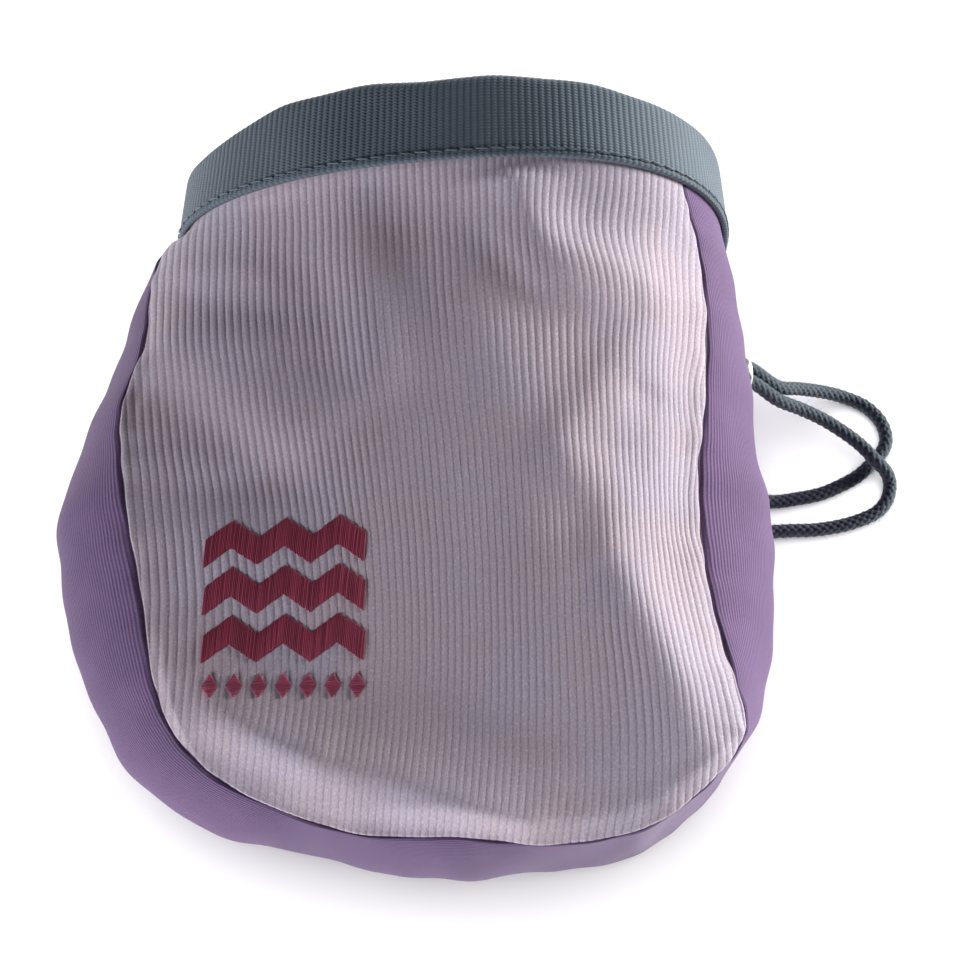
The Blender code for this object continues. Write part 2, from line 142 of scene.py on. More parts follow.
# Fineness of the pieces made here
PANEL_COLUMNS = 576
PANEL_ROWS = 140
BACK_COLUMNS = 96
BACK_ROWS = 80
PANEL_TUCK_ROWS = 5            # of a panel, up under the band
STRIP_STEPS = 20               # between two stations
STRIP_COLUMNS = 40
STRIP_TUCK_ROWS = 4
BAND_STEPS = 6                 # to each rib of the webbing
RING_STEPS = 72
HOLE_STEPS = 48
CORD_STEPS = 16                # between two points of a strand's route
KNOT_STEPS = 120
BRAID_STEP = 0.0003

# Seams, stitches and fibres
SEAM_ROLL = 0.0005             # radius of the cloth's turn into a seam
LINING_REACH = 0.004           # how near a seam the inner face starts to draw in
STATION_MM = 20                # about how far apart two stations are
STITCH_LEVEL = 0.0016          # of the band's row of stitches, above its lower edge
STITCH_PITCH = 0.0034
STITCH_LENGTH = 0.0027
STITCH_WIDTH = 0.0004
THREAD_STEP_MM = 0.36          # from one thread of the ornament to the next
FIBRE_DENSITY = 260000
FIBRE_LENGTH = 0.0011
FIBRE_THICKNESS = 0.02         # radius as a share of its length

# The stage: a camera as the photograph's, and soft light from above, one lamp of it for the floor alone
PHOTO_PIXELS = 960
FOCUS_PIXELS = 2165
SENSOR_MM = 36
CAMERA_TILT = 72
CAMERA_AIM = (0.01485, 0.00465, 0.035)
CAMERA_DISTANCE = 0.5
FLOOR_LEVEL = -0.0002
FLOOR_REACH = 40
# Name, heading, height, strength, spread, colour, whether it lights the floor and nothing else
LAMPS = (
    ("key_light", 20, 4.5, 7.4, 27, (0.99, 1.0, 1.0), False),
    ("side_light", 218, 2, 4.6, 44, (0.9, 0.92, 1.0), False),
    ("floor_light", 90, 84, 5.0, 90, (1.0, 1.0, 1.0), True),
)

# Folds of the front panel, as lines that the crest or the dent follows: rise, breadth on the line's left,
# breadth on its right, then the points. All in millimetres, seen from above.
CREASES_MM = (
    (3.0, 8.7, 6.0, ((20, 70), (24, 59), (32, 47), (45, 43), (55, 41))),
    (2.6, 7.8, 5.6, ((17, 56), (28, 42), (39, 38), (49, 38))),
    (2.0, 9.0, 6.7, (
        (54, 32), (49, 26), (41, 13), (34, 2), (43, -10), (45, -21), (52, -35), (60, -49), (67, -63))),
    (1.8, 14.6, 14.9, ((22, 31), (21, 3), (31, -32), (42, -53), (57, -71))),
    (-0.5, 7.4, 6.6, ((-58, 36), (-41, 26), (-19, 22), (1, 6))),
    (-2.3, 8.8, 13.3, ((-60, 17), (-42, 5), (-23, -9))),
    (-0.3, 3.1, 3.8, ((-59, 48), (-53, 44), (-46, 40))),
    (1.2, 8.5, 8.0, ((10, 58), (11, 39), (7, 20))),
    (0.4, 6.0, 6.5, ((18, 52), (19, 37), (18, 23))),
    (2.6, 6.0, 5.4, ((-52, -53), (-36, -59), (-16, -68))),
    (4.0, 9.0, 6.0, ((-17, -68), (7, -75), (34, -81))),
    (1.2, 4.3, 3.6, ((33, -74), (42, -76), (52, -74))),
    (-0.8, 2.8, 5.4, ((47, 17), (55, 14))),
    (-0.6, 9.6, 6.1, ((-47, 57), (-25, 62), (1, 66))),
    (-0.5, 8.0, 8.7, ((-49, 37), (-27, 35), (-5, 28))),
    (-0.5, 8.5, 5.8, ((-57, 14), (-54, -9), (-50, -34))),
    (-0.9, 4.0, 4.8, ((60, 52), (61, 24), (60, 1), (59, -20))),
    (-0.5, 10.2, 9.9, ((-4, -13), (2, -41), (9, -64))),
    (1.9, 7.5, 10.1, ((-15, 57), (-8, 32), (-6, 9))),
    (3.4, 8.5, 10.8, ((43, -24), (54, -44), (62, -63))),
    (-1.0, 9.6, 8.7, ((14, 14), (19, -9), (21, -32))),
    (0.5, 4.6, 5.3, ((-54, 50), (-39, 46), (-25, 37))),
    (1.9, 8.0, 8.2, ((-59, 32), (-45, 29), (-28, 28))),
    (-1.3, 5.0, 8.0, ((-57, -5), (-39, -5), (-19, 2), (-2, 13))),
    (1.0, 5.7, 5.0, ((-3, -56), (19, -65), (41, -67))),
    (3.2, 10.2, 6.0, ((-49, -45), (-25, -61), (1, -68), (23, -77))),
)
# Where the corduroy's ribs stray sideways: middle, reach along X and along Y, shift, in millimetres
STRAYS_MM = (
    (40, 52, 16, 9, 1.4),
    (44, 36, 14, 9, -1.2),
    (66, 5, 15, 60, 4.5),
    (63, -10, 8, 13, 3.4),
    (64, 18, 7, 8, 2.2),
    (-40, 55, 18, 12, -0.8),
    (56, -45, 12, 12, -1.0),
    (-30, -38, 60, 60, -12.0),
    (66, -66, 32, 24, -5.0),
)
# The mouth edge's small waves: degrees round the rim, then how far it stands out, in millimetres
MOUTH_WAVES_MM = (
    (0, 0.3), (14, 1.4), (24, 1.0), (34, 0.1), (44, -0.2), (54, -0.4), (64, 0.5), (74, 0.4), (84, 1.3),
    (94, 0.6), (104, 1.9), (114, 1.5), (124, 2.0), (134, 0.3), (144, -0.7), (154, -1.0), (164, -0.1),
    (200, 0.2), (230, -0.4), (260, 0.4), (290, -0.3), (320, 0.4), (360, 0.3),
)
# The sewn ornament: three zigzag bands over a row of lozenges, in millimetres
ZIGZAG_X_MM = (-45.0, -9.8)
ZIGZAG_ROWS_MM = (-17.4, -27.8, -38.2)
ZIGZAG_RISE_MM = 2.0
ZIGZAG_PERIODS = 3.0
ZIGZAG_BREADTH_MM = 6.2
LOZENGE_ROW_MM = -48.4
LOZENGE_SIZE_MM = (3.4, 5.2)
LOZENGE_COUNT = 7


def colour(red, green, blue):
    """A display colour, from 0 to 255, as the linear values that Blender takes."""
    parts = [part / 255 for part in (red, green, blue)]
    return tuple(part / 12.92 if part <= 0.04045 else ((part + 0.055) / 1.055) ** 2.4 for part in parts)


def sum_method(operation, reflected=False):
    """A method that adds a Math node to a signal, which comes last in the reflected form of an operator."""
    def method(self, *others):
        values = (self, *others)
        return self.math(operation, *(reversed(values) if reflected else values))
    return method


class Signal:
    """A socket that takes part in sums: an expression on signals adds its Math nodes."""

    def __init__(self, graph, socket):
        self.graph = graph
        self.socket = socket

    def math(self, operation, *values):
        return self.graph.node("ShaderNodeMath", {"operation": operation}, values)[0]

    __add__ = sum_method("ADD")
    __radd__ = sum_method("ADD", True)
    __sub__ = sum_method("SUBTRACT")
    __rsub__ = sum_method("SUBTRACT", True)
    __mul__ = sum_method("MULTIPLY")
    __rmul__ = sum_method("MULTIPLY", True)
    __truediv__ = sum_method("DIVIDE")
    __pow__ = sum_method("POWER")
    sin = sum_method("SINE")
    cos = sum_method("COSINE")
    floor = sum_method("FLOOR")
    fraction = sum_method("FRACT")
    size = sum_method("ABSOLUTE")
    larger = sum_method("MAXIMUM")

    def wave(self):
        """A sine from 0 to 1."""
        return self.sin() * 0.5 + 0.5

    def hump(self, sharpness):
        """1 half way between whole numbers and 0 at each of them."""
        return 1 - (self.fraction() * 2 - 1).size() ** sharpness


class Outputs:
    """A made node, whose outputs are read as signals."""

    def __init__(self, graph, made):
        self.graph = graph
        self.made = made

    def __getitem__(self, key):
        return Signal(self.graph, self.made.outputs[key])


class Graph:
    """A node tree, of a material or of geometry."""

    def __init__(self, tree):
        self.tree = tree

    def node(self, kind, settings=None, inputs=()):
        """A node with its settings, then the values or signals of its sockets by name or number."""
        made = self.tree.nodes.new(kind)
        for name, value in (settings or {}).items():
            setattr(made, name, value)
        for slot, value in inputs.items() if isinstance(inputs, dict) else enumerate(inputs):
            self.feed(made.inputs[slot], value)
        return Outputs(self, made)

    def feed(self, socket, value):
        if isinstance(value, Signal):
            self.tree.links.new(value.socket, socket)
        else:
            socket.default_value = value

    def blend(self, share, one, other):
        """A colour between two, each a signal or a linear colour."""
        pair = [(*shade, 1) if isinstance(shade, tuple) else shade for shade in (one, other)]
        return self.node("ShaderNodeMix", {"data_type": "RGBA"}, {0: share, 6: pair[0], 7: pair[1]})[2]

    def axes(self, place):
        """A place's X, Y and Z."""
        return self.node("ShaderNodeSeparateXYZ", None, (place,))

    def stretch(self, place, x, y, z):
        """A place with its axes scaled."""
        return self.node("ShaderNodeVectorMath", {"operation": "MULTIPLY"}, (place, (x, y, z)))[0]

    def noise(self, place, scale, detail=2.0, roughness=0.5):
        """Smooth noise from 0 to 1, with one scale or with one for each axis."""
        if isinstance(scale, tuple):
            place, scale = self.stretch(place, *scale), 1.0
        values = {"Vector": place, "Scale": scale, "Detail": detail, "Roughness": roughness}
        return self.node("ShaderNodeTexNoise", None, values)["Fac"]

    def step(self, value, low, high):
        """0 below low, 1 above high and smooth between."""
        values = {"Value": value, "From Min": low, "From Max": high}
        return self.node("ShaderNodeMapRange", {"interpolation_type": "SMOOTHSTEP"}, values)["Result"]


class Finish(Graph):
    """A material: a Principled shader with its constants, and what is fed to it."""

    def __init__(self, name, **constants):
        self.material = bpy.data.materials.new(name)
        self.material.use_nodes = True
        super().__init__(self.material.node_tree)
        self.shader = self.tree.nodes["Principled BSDF"]
        for key, value in constants.items():
            self.feed(self.shader.inputs[key.replace("_", " ")], value)

    def attribute(self, name):
        return self.node("ShaderNodeAttribute", {"attribute_name": name})

    def cloth(self):
        """A cloth's own coordinates in millimetres, whole and by axis."""
        place = self.attribute("cloth")["Vector"]
        return place, self.axes(place)

    def place(self):
        """Where a point of the piece is, in millimetres."""
        return self.stretch(self.node("ShaderNodeTexCoord")["Object"], 1000, 1000, 1000)

    def surface(self, shade, roughness, height, strength=1.0, distance=0.0002):
        """Feeds the colour and roughness, and a bump from a height of 0 to 1 that stands for distance."""
        self.feed(self.shader.inputs["Base Color"], shade)
        self.feed(self.shader.inputs["Roughness"], roughness)
        values = {"Height": height, "Strength": strength, "Distance": distance}
        self.feed(self.shader.inputs["Normal"], self.node("ShaderNodeBump", None, values)["Normal"])
        return self.material


def darker(shade, share):
    """A linear colour times a share."""
    return tuple(part * share for part in shade)


@cache
def corduroy_finish():
    """Lavender corduroy: soft pile on the ribs, and a duller ground between them, darkened further there as
    painted shade in the grooves.
    """
    cloth = bpy.context.scene.chalk_bag_cloth
    finish = Finish("lavender_corduroy", Sheen_Weight=0.35, Sheen_Roughness=0.45, Specular_IOR_Level=0.2)
    groove_shade = tuple(cloth.groove_shade)
    place, axes = finish.cloth()
    crest = (axes[0] / (cloth.rib_pitch * 1000)).hump(2.6)
    pile = finish.noise(place, (2.8, 1.6, 1), 4.0, 0.75)
    tufts = finish.noise(place, (1.6, 0.5, 1))
    patches = finish.noise(finish.place(), 0.045)
    shade = finish.blend(finish.step(patches, 0.35, 0.65), colour(205, 185, 193), tuple(cloth.corduroy))
    # Painted shade: the grooves between the ribs are darkened towards the groove colour.
    shade = finish.blend(finish.step(crest, 0.0, 0.85), groove_shade, shade)
    shade = finish.blend(finish.step(pile, 0.44, 0.66) * 0.5, shade, (0.92, 0.87, 0.94))
    shade = finish.blend(finish.step(tufts, 0.62, 0.3) * 0.2, shade, groove_shade)
    return finish.surface(shade, 0.86 + pile * 0.12, crest * 0.3 + pile * 0.7 + tufts * 0.3, 0.6, 0.0003)


@cache
def twill_finish():
    """Purple cotton twill: fine slanting lines of yarn."""
    cloth = bpy.context.scene.chalk_bag_cloth
    finish = Finish("purple_twill", Sheen_Weight=0.25, Sheen_Roughness=0.4, Specular_IOR_Level=0.3)
    base = tuple(cloth.twill)
    place, axes = finish.cloth()
    pitch = cloth.twill_pitch * 1000
    slant = math.radians(1.2)
    wander = finish.noise(place, (0.05, 0.12, 1))
    across = axes[1] * math.cos(slant) + axes[0] * math.sin(slant) + wander * 0.3
    line = (across * (2 * math.pi / pitch)).wave()
    float_yarn = (axes[0] * (2 * math.pi / 0.42) + (across / pitch).floor() * 2.1).wave()
    fuzz = finish.noise(place, 3.2, 3.0, 0.6)
    worn = finish.noise(finish.place(), 0.07, 3.0)
    shade = finish.blend(finish.step(worn, 0.35, 0.65), darker(base, 0.8), base)
    shade = finish.blend(line * 0.75 + float_yarn * 0.25, darker(base, 0.64), shade)
    shade = finish.blend(finish.step(fuzz, 0.5, 0.8) * 0.3, shade, (0.5, 0.41, 0.56))
    return finish.surface(shade, 0.72 + fuzz * 0.16, line * 0.6 + float_yarn * 0.2 + fuzz * 0.4, 0.6, 0.0003)


@cache
def lining_finish():
    """Pale fleece inside the bag."""
    base = tuple(bpy.context.scene.chalk_bag_cloth.lining)
    finish = Finish("pale_fleece", Sheen_Weight=0.5, Sheen_Roughness=0.6, Specular_IOR_Level=0.1)
    curls = finish.noise(finish.place(), 0.9, 4.0, 0.7)
    patches = finish.noise(finish.place(), 0.08)
    shade = finish.blend(finish.step(curls, 0.3, 0.7), darker(base, 0.6), base)
    shade = finish.blend(finish.step(patches, 0.5, 0.8) * 0.3, shade, (0.85, 0.84, 0.83))
    return finish.surface(shade, 0.95 - curls * 0.05, curls, 0.8, 0.0006)


@cache
def webbing_finish():
    """Slate webbing: thick ribs across it, crossed by fine picks, with painted shade between the ribs and a
    painted highlight on the raised picks.
    """
    trim = bpy.context.scene.chalk_bag_trim
    finish = Finish("slate_webbing", Sheen_Weight=0.15, Specular_IOR_Level=0.45)
    base = tuple(trim.webbing)
    place, axes = finish.cloth()
    rib = (axes[0] / (trim.webbing_pitch * 1000)).fraction()
    crest = rib.hump(1.6)
    picks = ((axes[1] + (rib * 2 - 1).size() * 0.24) * (2 * math.pi / 0.62)).wave()
    fuzz = finish.noise(place, 3.0, 3.0, 0.6)
    patches = finish.noise(finish.place(), 0.06)
    shade = finish.blend(finish.step(patches, 0.3, 0.7), darker(base, 0.82), base)
    # Painted shade: the webbing darkens between its ribs.
    shade = finish.blend(finish.step(crest, 0.1, 0.8), darker(base, 0.68), shade)
    # Painted highlight: the raised picks on the rib crests are lightened.
    shade = finish.blend(finish.step(picks * crest, 0.35, 0.95) * 0.18, shade, tuple(trim.webbing_highlight))
    return finish.surface(shade, 0.55 + fuzz * 0.25, crest * 0.3 + picks * 0.6 + fuzz * 0.25, 0.6)


@cache
def braid_finish():
    """Slate braided cord, slightly fuzzy, with painted shade in the hollows between its strands, and pale
    specks of wear.
    """
    base = tuple(bpy.context.scene.chalk_bag_drawcord.colour)
    finish = Finish("slate_cord", Sheen_Weight=0.3, Sheen_Roughness=0.4, Specular_IOR_Level=0.3)
    height = finish.attribute("relief")["Fac"]
    yarn = finish.noise(finish.place(), 4.5, 4.0, 0.7)
    wear = finish.noise(finish.place(), 0.9)
    # Painted shade: the low parts of the braid's relief, between the strands, are darkened.
    shade = finish.blend(finish.step(height, 0.2, 0.95), darker(base, 0.58), base)
    shade = finish.blend(finish.step(yarn * wear, 0.3, 0.5) * 0.3, shade, (0.3, 0.34, 0.36))
    return finish.surface(shade, 0.65 + yarn * 0.2, yarn, 0.7)


def metal_finish():
    """Nickel-plated brass with fine scratches."""
    finish = Finish("silver_metal", Metallic=1.0)
    scratches = finish.noise(finish.place(), (1.2, 9.0, 2.0), 3.0, 0.6)
    dull = finish.noise(finish.place(), 0.8)
    shade = finish.blend(finish.step(dull, 0.35, 0.8), (0.82, 0.82, 0.81), (0.6, 0.59, 0.57))
    return finish.surface(shade, 0.18 + dull * 0.16, scratches, 0.25, 0.00006)


def thread_finish(name, base):
    """Shiny sewing thread, its tone a little different from stitch to stitch."""
    finish = Finish(name, Sheen_Weight=0.3, Specular_IOR_Level=0.5)
    twist = finish.noise(finish.place(), 6.0)
    tone = finish.attribute("tone")["Fac"] * 0.7 + twist * 0.3
    shade = finish.blend(tone, darker(base, 0.55), base)
    return finish.surface(shade, 0.42 + twist * 0.15, twist, 0.5, 0.0001)


def floor_finish():
    """A plain pale sheet under the bag."""
    finish = Finish("pale_floor", Specular_IOR_Level=0.1)
    grain = finish.noise(finish.place(), 0.02)
    return finish.surface(finish.blend(grain, (0.9,) * 3, (0.92,) * 3), 0.95, grain, 0.02, 0.0001)


def ramp(share):
    """A smooth step from 0 to 1."""
    share = np.clip(share, 0.0, 1.0)
    return share * share * (3 - 2 * share)


def power(value, exponent):
    """A value raised to an exponent, keeping its sign."""
    return np.sign(value) * np.abs(value) ** exponent


def through(points, place):
    """A point on the smooth curve through points; place counts from 0 at the first one."""
    first = min(max(int(place), 0), len(points) - 2)
    part = place - first
    here, there = points[first], points[first + 1]
    before = points[first - 1] if first else 2 * here - there
    after = points[first + 2] if first + 2 < len(points) else 2 * there - here
    rise = (there - before) / 2
    fall = (after - here) / 2
    bend = 2 * (here - there) + rise + fall
    return here + part * (rise + part * (3 * (there - here) - 2 * rise - fall + part * bend))


def shares_of(count, places):
    """How much each of count points counts at each place of the smooth curve through them."""
    each = np.eye(count)
    return np.array([through(each, place) for place in places])


def unit(vectors):
    return vectors / np.maximum(np.linalg.norm(vectors, axis=-1, keepdims=True), 1e-12)


def rim_outline(turn, taper):
    """The rim's cloth at angles in degrees, as x and z: an arch over a base that lies flat."""
    across, up = np.cos(np.radians(turn)), np.sin(np.radians(turn))
    waist = RIM_WAIST * RIM_HEIGHT
    half = RIM_WIDTH / 2 - SKIN
    roundness = np.where(up > 0, ARCH_ROUNDNESS, BASE_ROUNDNESS)
    reach = np.where(up > 0, RIM_HEIGHT - SKIN - waist, waist - SKIN)
    x = half * power(across, 2 / roundness) * taper
    rise = power(up, 2 / roundness)
    return RIM_SHIFT * HALF_WIDTH + x, waist + reach * rise + RIM_LEAN * x * np.maximum(rise, 0)


def rim_point(turn, y, out=0.0):
    """Points of the rim at angles and places along Y, moved out from the cloth."""
    turn, y, out = np.broadcast_arrays(np.asarray(turn, float), y, out)
    share = (y - BAND_LOW_Y) / BAND_WIDTH
    taper = 1 - (1 - RIM_TAPER) * share
    dip = RIM_DIP * BAND_WIDTH * np.maximum(share, 0) * np.cos(np.radians(turn)) ** 2
    x, z = rim_outline(turn, taper)
    ahead, behind = rim_outline(turn + 0.5, taper), rim_outline(turn - 0.5, taper)
    along = unit(np.stack([ahead[0] - behind[0], ahead[1] - behind[1]], axis=-1))
    return np.stack([x + along[..., 1] * out, y - dip, z - along[..., 0] * out], axis=-1)


def gusset_sections(across):
    """The gusset at every whole station, for shares across it from its front seam."""
    across = np.asarray(across, float)
    sections = []
    for side in (0, 1):
        start, end = FRONT_SEAM_TURNS[side], BACK_SEAM_TURNS[side] - 360 * side
        sections.append(rim_point(start + (end - start) * across, CUFF_Y))
    out = np.maximum(np.sin(np.pi * across), 0) ** GUSSET_FULLNESS
    out[(across <= 0) | (across >= 1)] = 0
    for x, y, height, widest_x, widest_y in STATIONS:
        high = height * SEAM_HEIGHT
        seam = np.array((x * HALF_WIDTH, BAND_LOW_Y - y * BODY_LENGTH, high))
        widest = np.array((widest_x * HALF_WIDTH, BAND_LOW_Y - widest_y * BODY_LENGTH, high * WIDEST_LEVEL))
        section = seam + (widest - seam) * out[:, None]
        section[:, 2] = high + (high * BACK_SEAM_LEVEL - high) * across
        sections.insert(-1, section)
    return np.array(sections)


def gusset_surface(places, across):
    """The gusset's outer face as a grid: a row for each place along its stations."""
    return np.einsum("pn,nac->pac", shares_of(LAST_STATION + 1, places), gusset_sections(across))


def panel_grid(across, down, edge, turns):
    """A panel between the rim and its seam, as a grid of rows down and columns across."""
    across, down = np.asarray(across), np.asarray(down)

    def seam(places):
        return gusset_surface(places, [edge])[:, 0]

    top = rim_point(turns[0] + (turns[1] - turns[0]) * across, CUFF_Y)
    bottom = seam(LOWER_LEFT + (LOWER_RIGHT - LOWER_LEFT) * across)
    left = seam(LOWER_LEFT * down)
    right = seam(LAST_STATION + (LOWER_RIGHT - LAST_STATION) * down)
    ends = seam([0, LOWER_LEFT, LOWER_RIGHT, LAST_STATION])
    a, d = across[None, :, None], down[:, None, None]
    corners = (ends[0] * (1 - a) + ends[3] * a) * (1 - d) + (ends[1] * (1 - a) + ends[2] * a) * d
    return top[None] * (1 - d) + bottom[None] * d + left[:, None] * (1 - a) + right[:, None] * a - corners


def edge_fade(across, down, reach):
    """0 at a panel's edges and 1 from a share of its sides inwards."""
    return ramp(np.minimum(np.minimum(across, 1 - across), np.minimum(down, 1 - down)) / reach)


def crease_rise(x, y):
    """How far the folds lift the front panel, all in millimetres."""
    total = np.zeros_like(x)
    for rise, left_breadth, right_breadth, points in CREASES_MM:
        line = np.array(points, float)
        fine = np.array([through(line, place) for place in np.linspace(0, len(line) - 1, 12 * len(line))])
        best = np.full(x.shape, 1e9)
        side = np.zeros_like(x)
        run = np.zeros_like(x)
        for index, (start, end) in enumerate(zip(fine, fine[1:])):
            way = end - start
            part = ((x - start[0]) * way[0] + (y - start[1]) * way[1]) / (way @ way)
            near = np.clip(part, 0, 1)
            off_x, off_y = x - start[0] - near * way[0], y - start[1] - near * way[1]
            away = np.hypot(off_x, off_y)
            closer = away < best
            best = np.where(closer, away, best)
            left = (way[0] * off_y - way[1] * off_x) / np.maximum(np.hypot(*way) * away, 1e-9)
            side = np.where(closer, left, side)
            run = np.where(closer, (index + near) / (len(fine) - 1), run)
        breadth = (left_breadth + right_breadth + (left_breadth - right_breadth) * side) / 2
        ends = np.sin(np.pi * np.clip(run * 0.84 + 0.08, 0, 1)) ** 0.6
        total += rise * ends * np.exp(-(best / breadth) ** 2)
    return total


def front_surface(across, down):
    """The front panel's outer face as a grid, without its ribs."""
    grid = panel_grid(across, down, 0.0, FRONT_SEAM_TURNS)
    a, d = np.asarray(across)[None, :], np.asarray(down)[:, None]
    crown = CROWN * SEAM_HEIGHT * np.sin(np.pi * a) * np.sin(np.pi * d)
    soft = crease_rise(grid[..., 0] * 1000, grid[..., 1] * 1000) / 1000 * edge_fade(a, d, 0.05)
    grid[..., 2] += crown + soft
    return grid


def back_surface(across, down):
    """The back panel's outer face as a grid, flat where the bag lies on it."""
    grid = panel_grid(across, down, 1.0, BACK_SEAM_TURNS)
    grid[..., 2] *= 1 - edge_fade(np.asarray(across)[None, :], np.asarray(down)[:, None], FLAT_FROM)
    return grid


def uneven(run, lengths, seed):
    """A smooth uneven wave from -1 to 1, the same at every run of the script."""
    phases = np.random.default_rng(seed).uniform(0, 2 * np.pi, len(lengths))
    waves = [np.sin(2 * np.pi * run / length + phase) for length, phase in zip(lengths, phases)]
    return sum(waves) / len(lengths)


def face_out(grid):
    """A grid's unit normals, and whether they had to be turned to face away from the middle of the bag."""
    normals = unit(np.cross(np.gradient(grid, axis=1), np.gradient(grid, axis=0)))
    middle = np.array((0, 0, RIM_WAIST * RIM_HEIGHT))
    turned = np.sum(normals * (grid - middle)) < 0
    return (-normals if turned else normals), turned


def thin_out(count, step):
    """Every step-th number up to count, and count itself."""
    return sorted({*range(0, count, step), count})


def seam_roll(away, half_angle):
    """How far a cloth moves along itself and down as it turns into a seam, by its distance from it."""
    start = SEAM_ROLL / np.tan(half_angle / 2)
    turn = np.clip(1 - away / start, 0, 1) * (np.pi - half_angle)
    shift = np.where(away < start, start - SEAM_ROLL * np.sin(turn) - away, 0)
    return shift, np.where(away < start, SEAM_ROLL * (1 - np.cos(turn)), 0)


@cache
def seam_angles(edge):
    """Places along a panel's seam with the gusset, and half the angle between the two at each."""
    surface = back_surface if edge else front_surface
    shares = np.linspace(0, 1, 61)
    panel, _turned = face_out(surface(shares, shares))
    places = np.concatenate([LOWER_LEFT * shares, LOWER_LEFT + (LOWER_RIGHT - LOWER_LEFT) * shares[1:],
                             LOWER_RIGHT + (LAST_STATION - LOWER_RIGHT) * shares[1:]])
    ours = np.concatenate([panel[:, 0], panel[-1, 1:], panel[::-1, -1][1:]])
    strip, _turned = face_out(gusset_surface(places, np.linspace(0, 1, 21)))
    theirs = strip[:, -1 if edge else 0]
    bend = np.arccos(np.clip(np.sum(ours * theirs, axis=-1), -1, 1))
    return places, np.clip((np.pi - bend) / 2 + 0.06, 0.35, 1.45)


def turn_in(edge, place, away, inward, normals, pucker):
    """How a cloth's outer and inner faces move beside a seam, by place along it and distance from it."""
    half = np.interp(place, *seam_angles(edge))
    shift, drop = seam_roll(away, half)
    pull = np.clip(1 - away / LINING_REACH, 0, 1) * (CLOTH / np.tan(half))
    return inward * shift[..., None] + normals * (pucker - drop)[..., None], inward * pull[..., None]


def beside_seam(grid, normals, edge):
    """For each point of a panel: its distance from the seam, its place along it, and the way in from it."""
    places = np.linspace(0, LAST_STATION, 60 * LAST_STATION + 1)
    line = gusset_surface(places, [edge])[:, 0]
    along = unit(np.gradient(line, axis=0))
    tree = KDTree(len(line))
    for number, point in enumerate(line):
        tree.insert(point, number)
    tree.balance()
    nearest = np.array([tree.find(point)[1] for point in grid.reshape(-1, 3)]).reshape(grid.shape[:2])
    tangent = along[nearest]
    off = grid - line[nearest]
    off = off - tangent * np.sum(off * tangent, axis=-1, keepdims=True)
    inward = unit(np.cross(normals, tangent))
    middle = grid.mean(axis=(0, 1))
    wrong = np.sum(inward * (middle - grid), axis=-1, keepdims=True) < 0
    return np.linalg.norm(off, axis=-1), places[nearest], np.where(wrong, -inward, inward)


def gather(run_mm, away_mm, seed, depth, reach):
    """Small puckers beside a seam, in metres: run along it and distance from it in millimetres."""
    wave = uneven(run_mm, (11.0, 17.0, 27.0, 43.0), seed)
    return depth * (wave - 0.25) * np.exp(-away_mm / reach)


def quads(rows, columns, turned):
    """The faces of a grid of points, facing out."""
    number = np.arange(rows * columns).reshape(rows, columns)
    corners = (number[:-1, :-1], number[:-1, 1:], number[1:, 1:], number[1:, :-1])
    faces = np.stack(corners, axis=-1).reshape(-1, 4)
    return faces[:, ::-1] if turned else faces


def shape(name, points, faces=(), edges=()):
    """A mesh from its points, and its faces or edges."""
    mesh = bpy.data.meshes.new(name)
    mesh.from_pydata(np.asarray(points).tolist(), edges, faces)
    return mesh


def hoop(name, grid):
    """A smooth mesh from a grid of points that closes both ways."""
    number = np.arange(grid[..., 0].size).reshape(grid.shape[:2])
    ahead = np.roll(number, -1, axis=0)
    faces = np.stack([number, ahead, np.roll(ahead, -1, axis=1), np.roll(number, -1, axis=1)], axis=-1)
    mesh = shape(name, grid.reshape(-1, 3), faces.reshape(-1, 4).tolist())
    mesh.shade_smooth()
    return mesh


def border(rows, columns, width):
    """A grid's edge once round, as point numbers, given its chosen rows and columns."""
    around = [(rows[0], column) for column in columns[:-1]]
    around += [(row, columns[-1]) for row in rows[:-1]]
    around += [(rows[-1], column) for column in columns[:0:-1]]
    around += [(row, columns[0]) for row in rows[:0:-1]]
    return [row * width + column for row, column in around]


def add_attribute(mesh, name, kind, domain, values):
    """A named attribute on a mesh."""
    made = mesh.attributes.new(name, kind, domain)
    key = "vector" if kind == "FLOAT_VECTOR" else "value"
    made.data.foreach_set(key, np.asarray(values).ravel())


